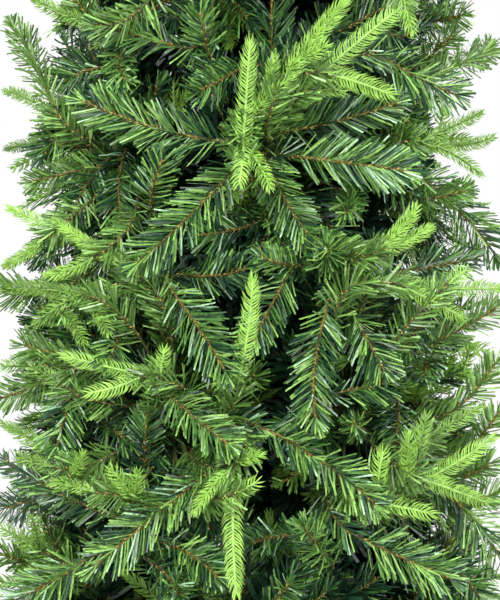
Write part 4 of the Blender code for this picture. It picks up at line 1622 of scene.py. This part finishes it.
def softened_copy(node, name, width, rim=None):
    """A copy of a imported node's mesh, merged, with its hard edges rounded, and a raised rim round its
    inner end if one is given, as its place behind that end, its breadth and its height."""
    shape = bmesh.new()
    shape.from_mesh(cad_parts[node].data)
    bmesh.ops.remove_doubles(shape, verts=shape.verts, dist=0.00002)
    bmesh.ops.dissolve_limit(shape, angle_limit=math.radians(1), verts=shape.verts, edges=shape.edges)
    sharp = math.radians(35)
    edges = [edge for edge in shape.edges if edge.is_manifold and edge.calc_face_angle() > sharp]
    bevelled(shape, edges, width)
    bmesh.ops.remove_doubles(shape, verts=shape.verts, dist=width / 50)
    if rim:
        raise_rim(shape, *rim)
    bmesh.ops.recalc_face_normals(shape, faces=shape.faces)
    return smooth_but_sharp(mesh_of_bmesh(name, shape))


def raise_rim(shape, setback, breadth, height):
    """Raises a band round the outside of the shape's end that is nearest the pole. Its floor side stays
    level."""
    middle = sum((point.co for point in shape.verts), Vector()) / len(shape.verts)
    outwards = Vector((middle.x, middle.y, 0)).normalized()
    inner_end = min(point.co.dot(outwards) for point in shape.verts)
    lowest = min(point.co.z for point in shape.verts)
    for reach in (inner_end + setback, inner_end + setback + breadth):
        everything = [*shape.verts, *shape.edges, *shape.faces]
        bmesh.ops.bisect_plane(shape, geom=everything, plane_co=outwards * reach, plane_no=outwards)
    shape.normal_update()
    centre, half = inner_end + setback + breadth / 2, breadth * 0.45
    band = []
    for face in shape.faces:
        place = face.calc_center_median()
        if abs(place.dot(outwards) - centre) < half and face.normal.dot(place - middle) > 0:
            band.append(face)
    bmesh.ops.inset_region(shape, faces=band, thickness=height / 2, depth=height, use_even_offset=True)
    for point in shape.verts:
        point.co.z = max(point.co.z, lowest)


class TREE_OT_stand(bpy.types.Operator):
    """Round the edges of the stand's socket, legs, boots and thumbscrews, and rim the boots"""

    bl_idname = "tree.stand"
    bl_label = "Stand"

    def execute(self, context):
        sizes = context.scene.tree_stand
        paint = paint_finish("stand_paint", sizes.paint)
        rubber = rubber_finish("boot_rubber", sizes.rubber)
        zinc = zinc_finish("screw_zinc", sizes.zinc)
        setback, breadth = 0.0012, 0.0045
        self.finish_copies(["stand_socket"], paint, "stand_paint", sizes.edge / 2)
        legs = range(1, LEGS + 1)
        self.finish_copies([f"stand_leg_{leg}" for leg in legs], paint, "stand_paint", sizes.edge)
        rim = (setback, breadth, sizes.rim)
        self.finish_copies([f"stand_boot_{leg}" for leg in legs], rubber, "boot_rubber", sizes.edge * 3, rim)
        screws = [f"thumbscrew_{number + 1}" for number in range(SCREWS)]
        self.finish_copies(screws, zinc, "screw_zinc", sizes.edge / 3)
        return {"FINISHED"}

    def finish_copies(self, nodes, material, slot, width, rim=None):
        for node in nodes:
            name = f"finished_{node}"
            finish_piece(softened_copy(node, name, width, rim), name, material, [node])


class TREE_OT_stage(bpy.types.Operator):
    """Lay the pale floor, hang the soft lights and set the camera"""

    bl_idname = "tree.stage"
    bl_label = "Stage"

    def execute(self, context):
        sizes = context.scene.tree_stage
        self.floor(sizes)
        self.lights(sizes)
        self.sky(context, sizes)
        self.camera(context)
        return {"FINISHED"}

    def floor(self, sizes):
        shape = bmesh.new()
        bmesh.ops.create_circle(shape, cap_ends=True, segments=96, radius=sizes.floor_radius)
        made = placed("floor", mesh_of_bmesh("floor", shape))
        finish = Finish("floor_white", 0.7, 0.0, 0.2)
        darker, lighter = (0.80, 0.80, 0.79), (0.84, 0.84, 0.83)
        finish.link("Base Color", finish.mix(finish.noise(1.5, 2.0), darker, lighter))
        made.data.materials.append(finish.material)

    def lights(self, sizes):
        aim = Vector((0, 0, 0.75))
        plans = (
            ("key_light", (-1.1, -2.5, 2.1), 1.5, sizes.key_power),
            ("fill_light", (1.8, -2.1, 1.3), 1.6, sizes.fill_power),
            ("back_light_left", (-1.9, 2.1, 1.9), 1.5, sizes.back_power),
            ("back_light_right", (2.1, 1.9, 2.2), 1.5, sizes.back_power),
            ("top_light", (0.2, -0.6, 3.6), 1.5, sizes.top_power),
        )
        for name, place, side, power in plans:
            lamp = bpy.data.lights.new(name, "AREA")
            lamp.energy = power
            lamp.size = side
            made = placed(name, lamp)
            made.location = place
            made.rotation_euler = (aim - Vector(place)).to_track_quat("-Z", "Y").to_euler()

    def sky(self, context, sizes):
        world = bpy.data.worlds.new("studio")
        context.scene.world = world
        world.use_nodes = True
        tree = world.node_tree
        seen = tree.nodes.new("ShaderNodeLightPath")
        strength = tree.nodes.new("ShaderNodeMapRange")
        strength.inputs["To Min"].default_value = sizes.sky
        strength.inputs["To Max"].default_value = 1.0
        tree.links.new(seen.outputs["Is Camera Ray"], strength.inputs["Value"])
        tree.links.new(strength.outputs["Result"], tree.nodes["Background"].inputs["Strength"])
        tree.nodes["Background"].inputs["Color"].default_value = (1.0, 1.0, 1.0, 1.0)

    def camera(self, context):
        lens = bpy.data.cameras.new("camera")
        lens.sensor_width = 36.0
        far = CAMERA_DISTANCE + MEASURING_PLANE
        lens.lens = lens.sensor_width * far / WINDOW_HEIGHT
        made = placed("camera", lens)
        made.location = camera_place()
        made.rotation_euler = (math.pi / 2, 0, 0)
        context.scene.camera = made
        context.scene.view_settings.view_transform = "Standard"


class TREE_PT_panel(bpy.types.Panel):
    """The tree's operators, in the order that they run"""

    bl_idname = "TREE_PT_panel"
    bl_label = "Slim artificial tree"
    bl_space_type = "VIEW_3D"
    bl_region_type = "UI"
    bl_category = "Tree"

    def draw(self, context):
        for operator in OPERATORS:
            self.layout.operator(operator.bl_idname)


SETTINGS = {
    "tree_film": FilmSizes,
    "tree_sprigs": SprigSizes,
    "tree_wires": WireSizes,
    "tree_stand": StandSizes,
    "tree_stage": StageSizes,
}
OPERATORS = (
    TREE_OT_film_tips,
    TREE_OT_moulded_sprigs,
    TREE_OT_tip_wires,
    TREE_OT_wound_boughs,
    TREE_OT_pole,
    TREE_OT_stand,
    TREE_OT_stage,
)


def register():
    for made in (*SETTINGS.values(), *OPERATORS, TREE_PT_panel):
        bpy.utils.register_class(made)
    for name, group in SETTINGS.items():
        setattr(bpy.types.Scene, name, PointerProperty(type=group))


def unregister():
    for name in SETTINGS:
        delattr(bpy.types.Scene, name)
    for made in reversed((*SETTINGS.values(), *OPERATORS, TREE_PT_panel)):
        bpy.utils.unregister_class(made)


def main():
    register()
    bpy.ops.tree.film_tips()
    bpy.ops.tree.moulded_sprigs()
    bpy.ops.tree.tip_wires()
    bpy.ops.tree.wound_boughs()
    bpy.ops.tree.pole()
    bpy.ops.tree.stand()
    bpy.ops.tree.stage()


if __name__ == "__main__":
    main()
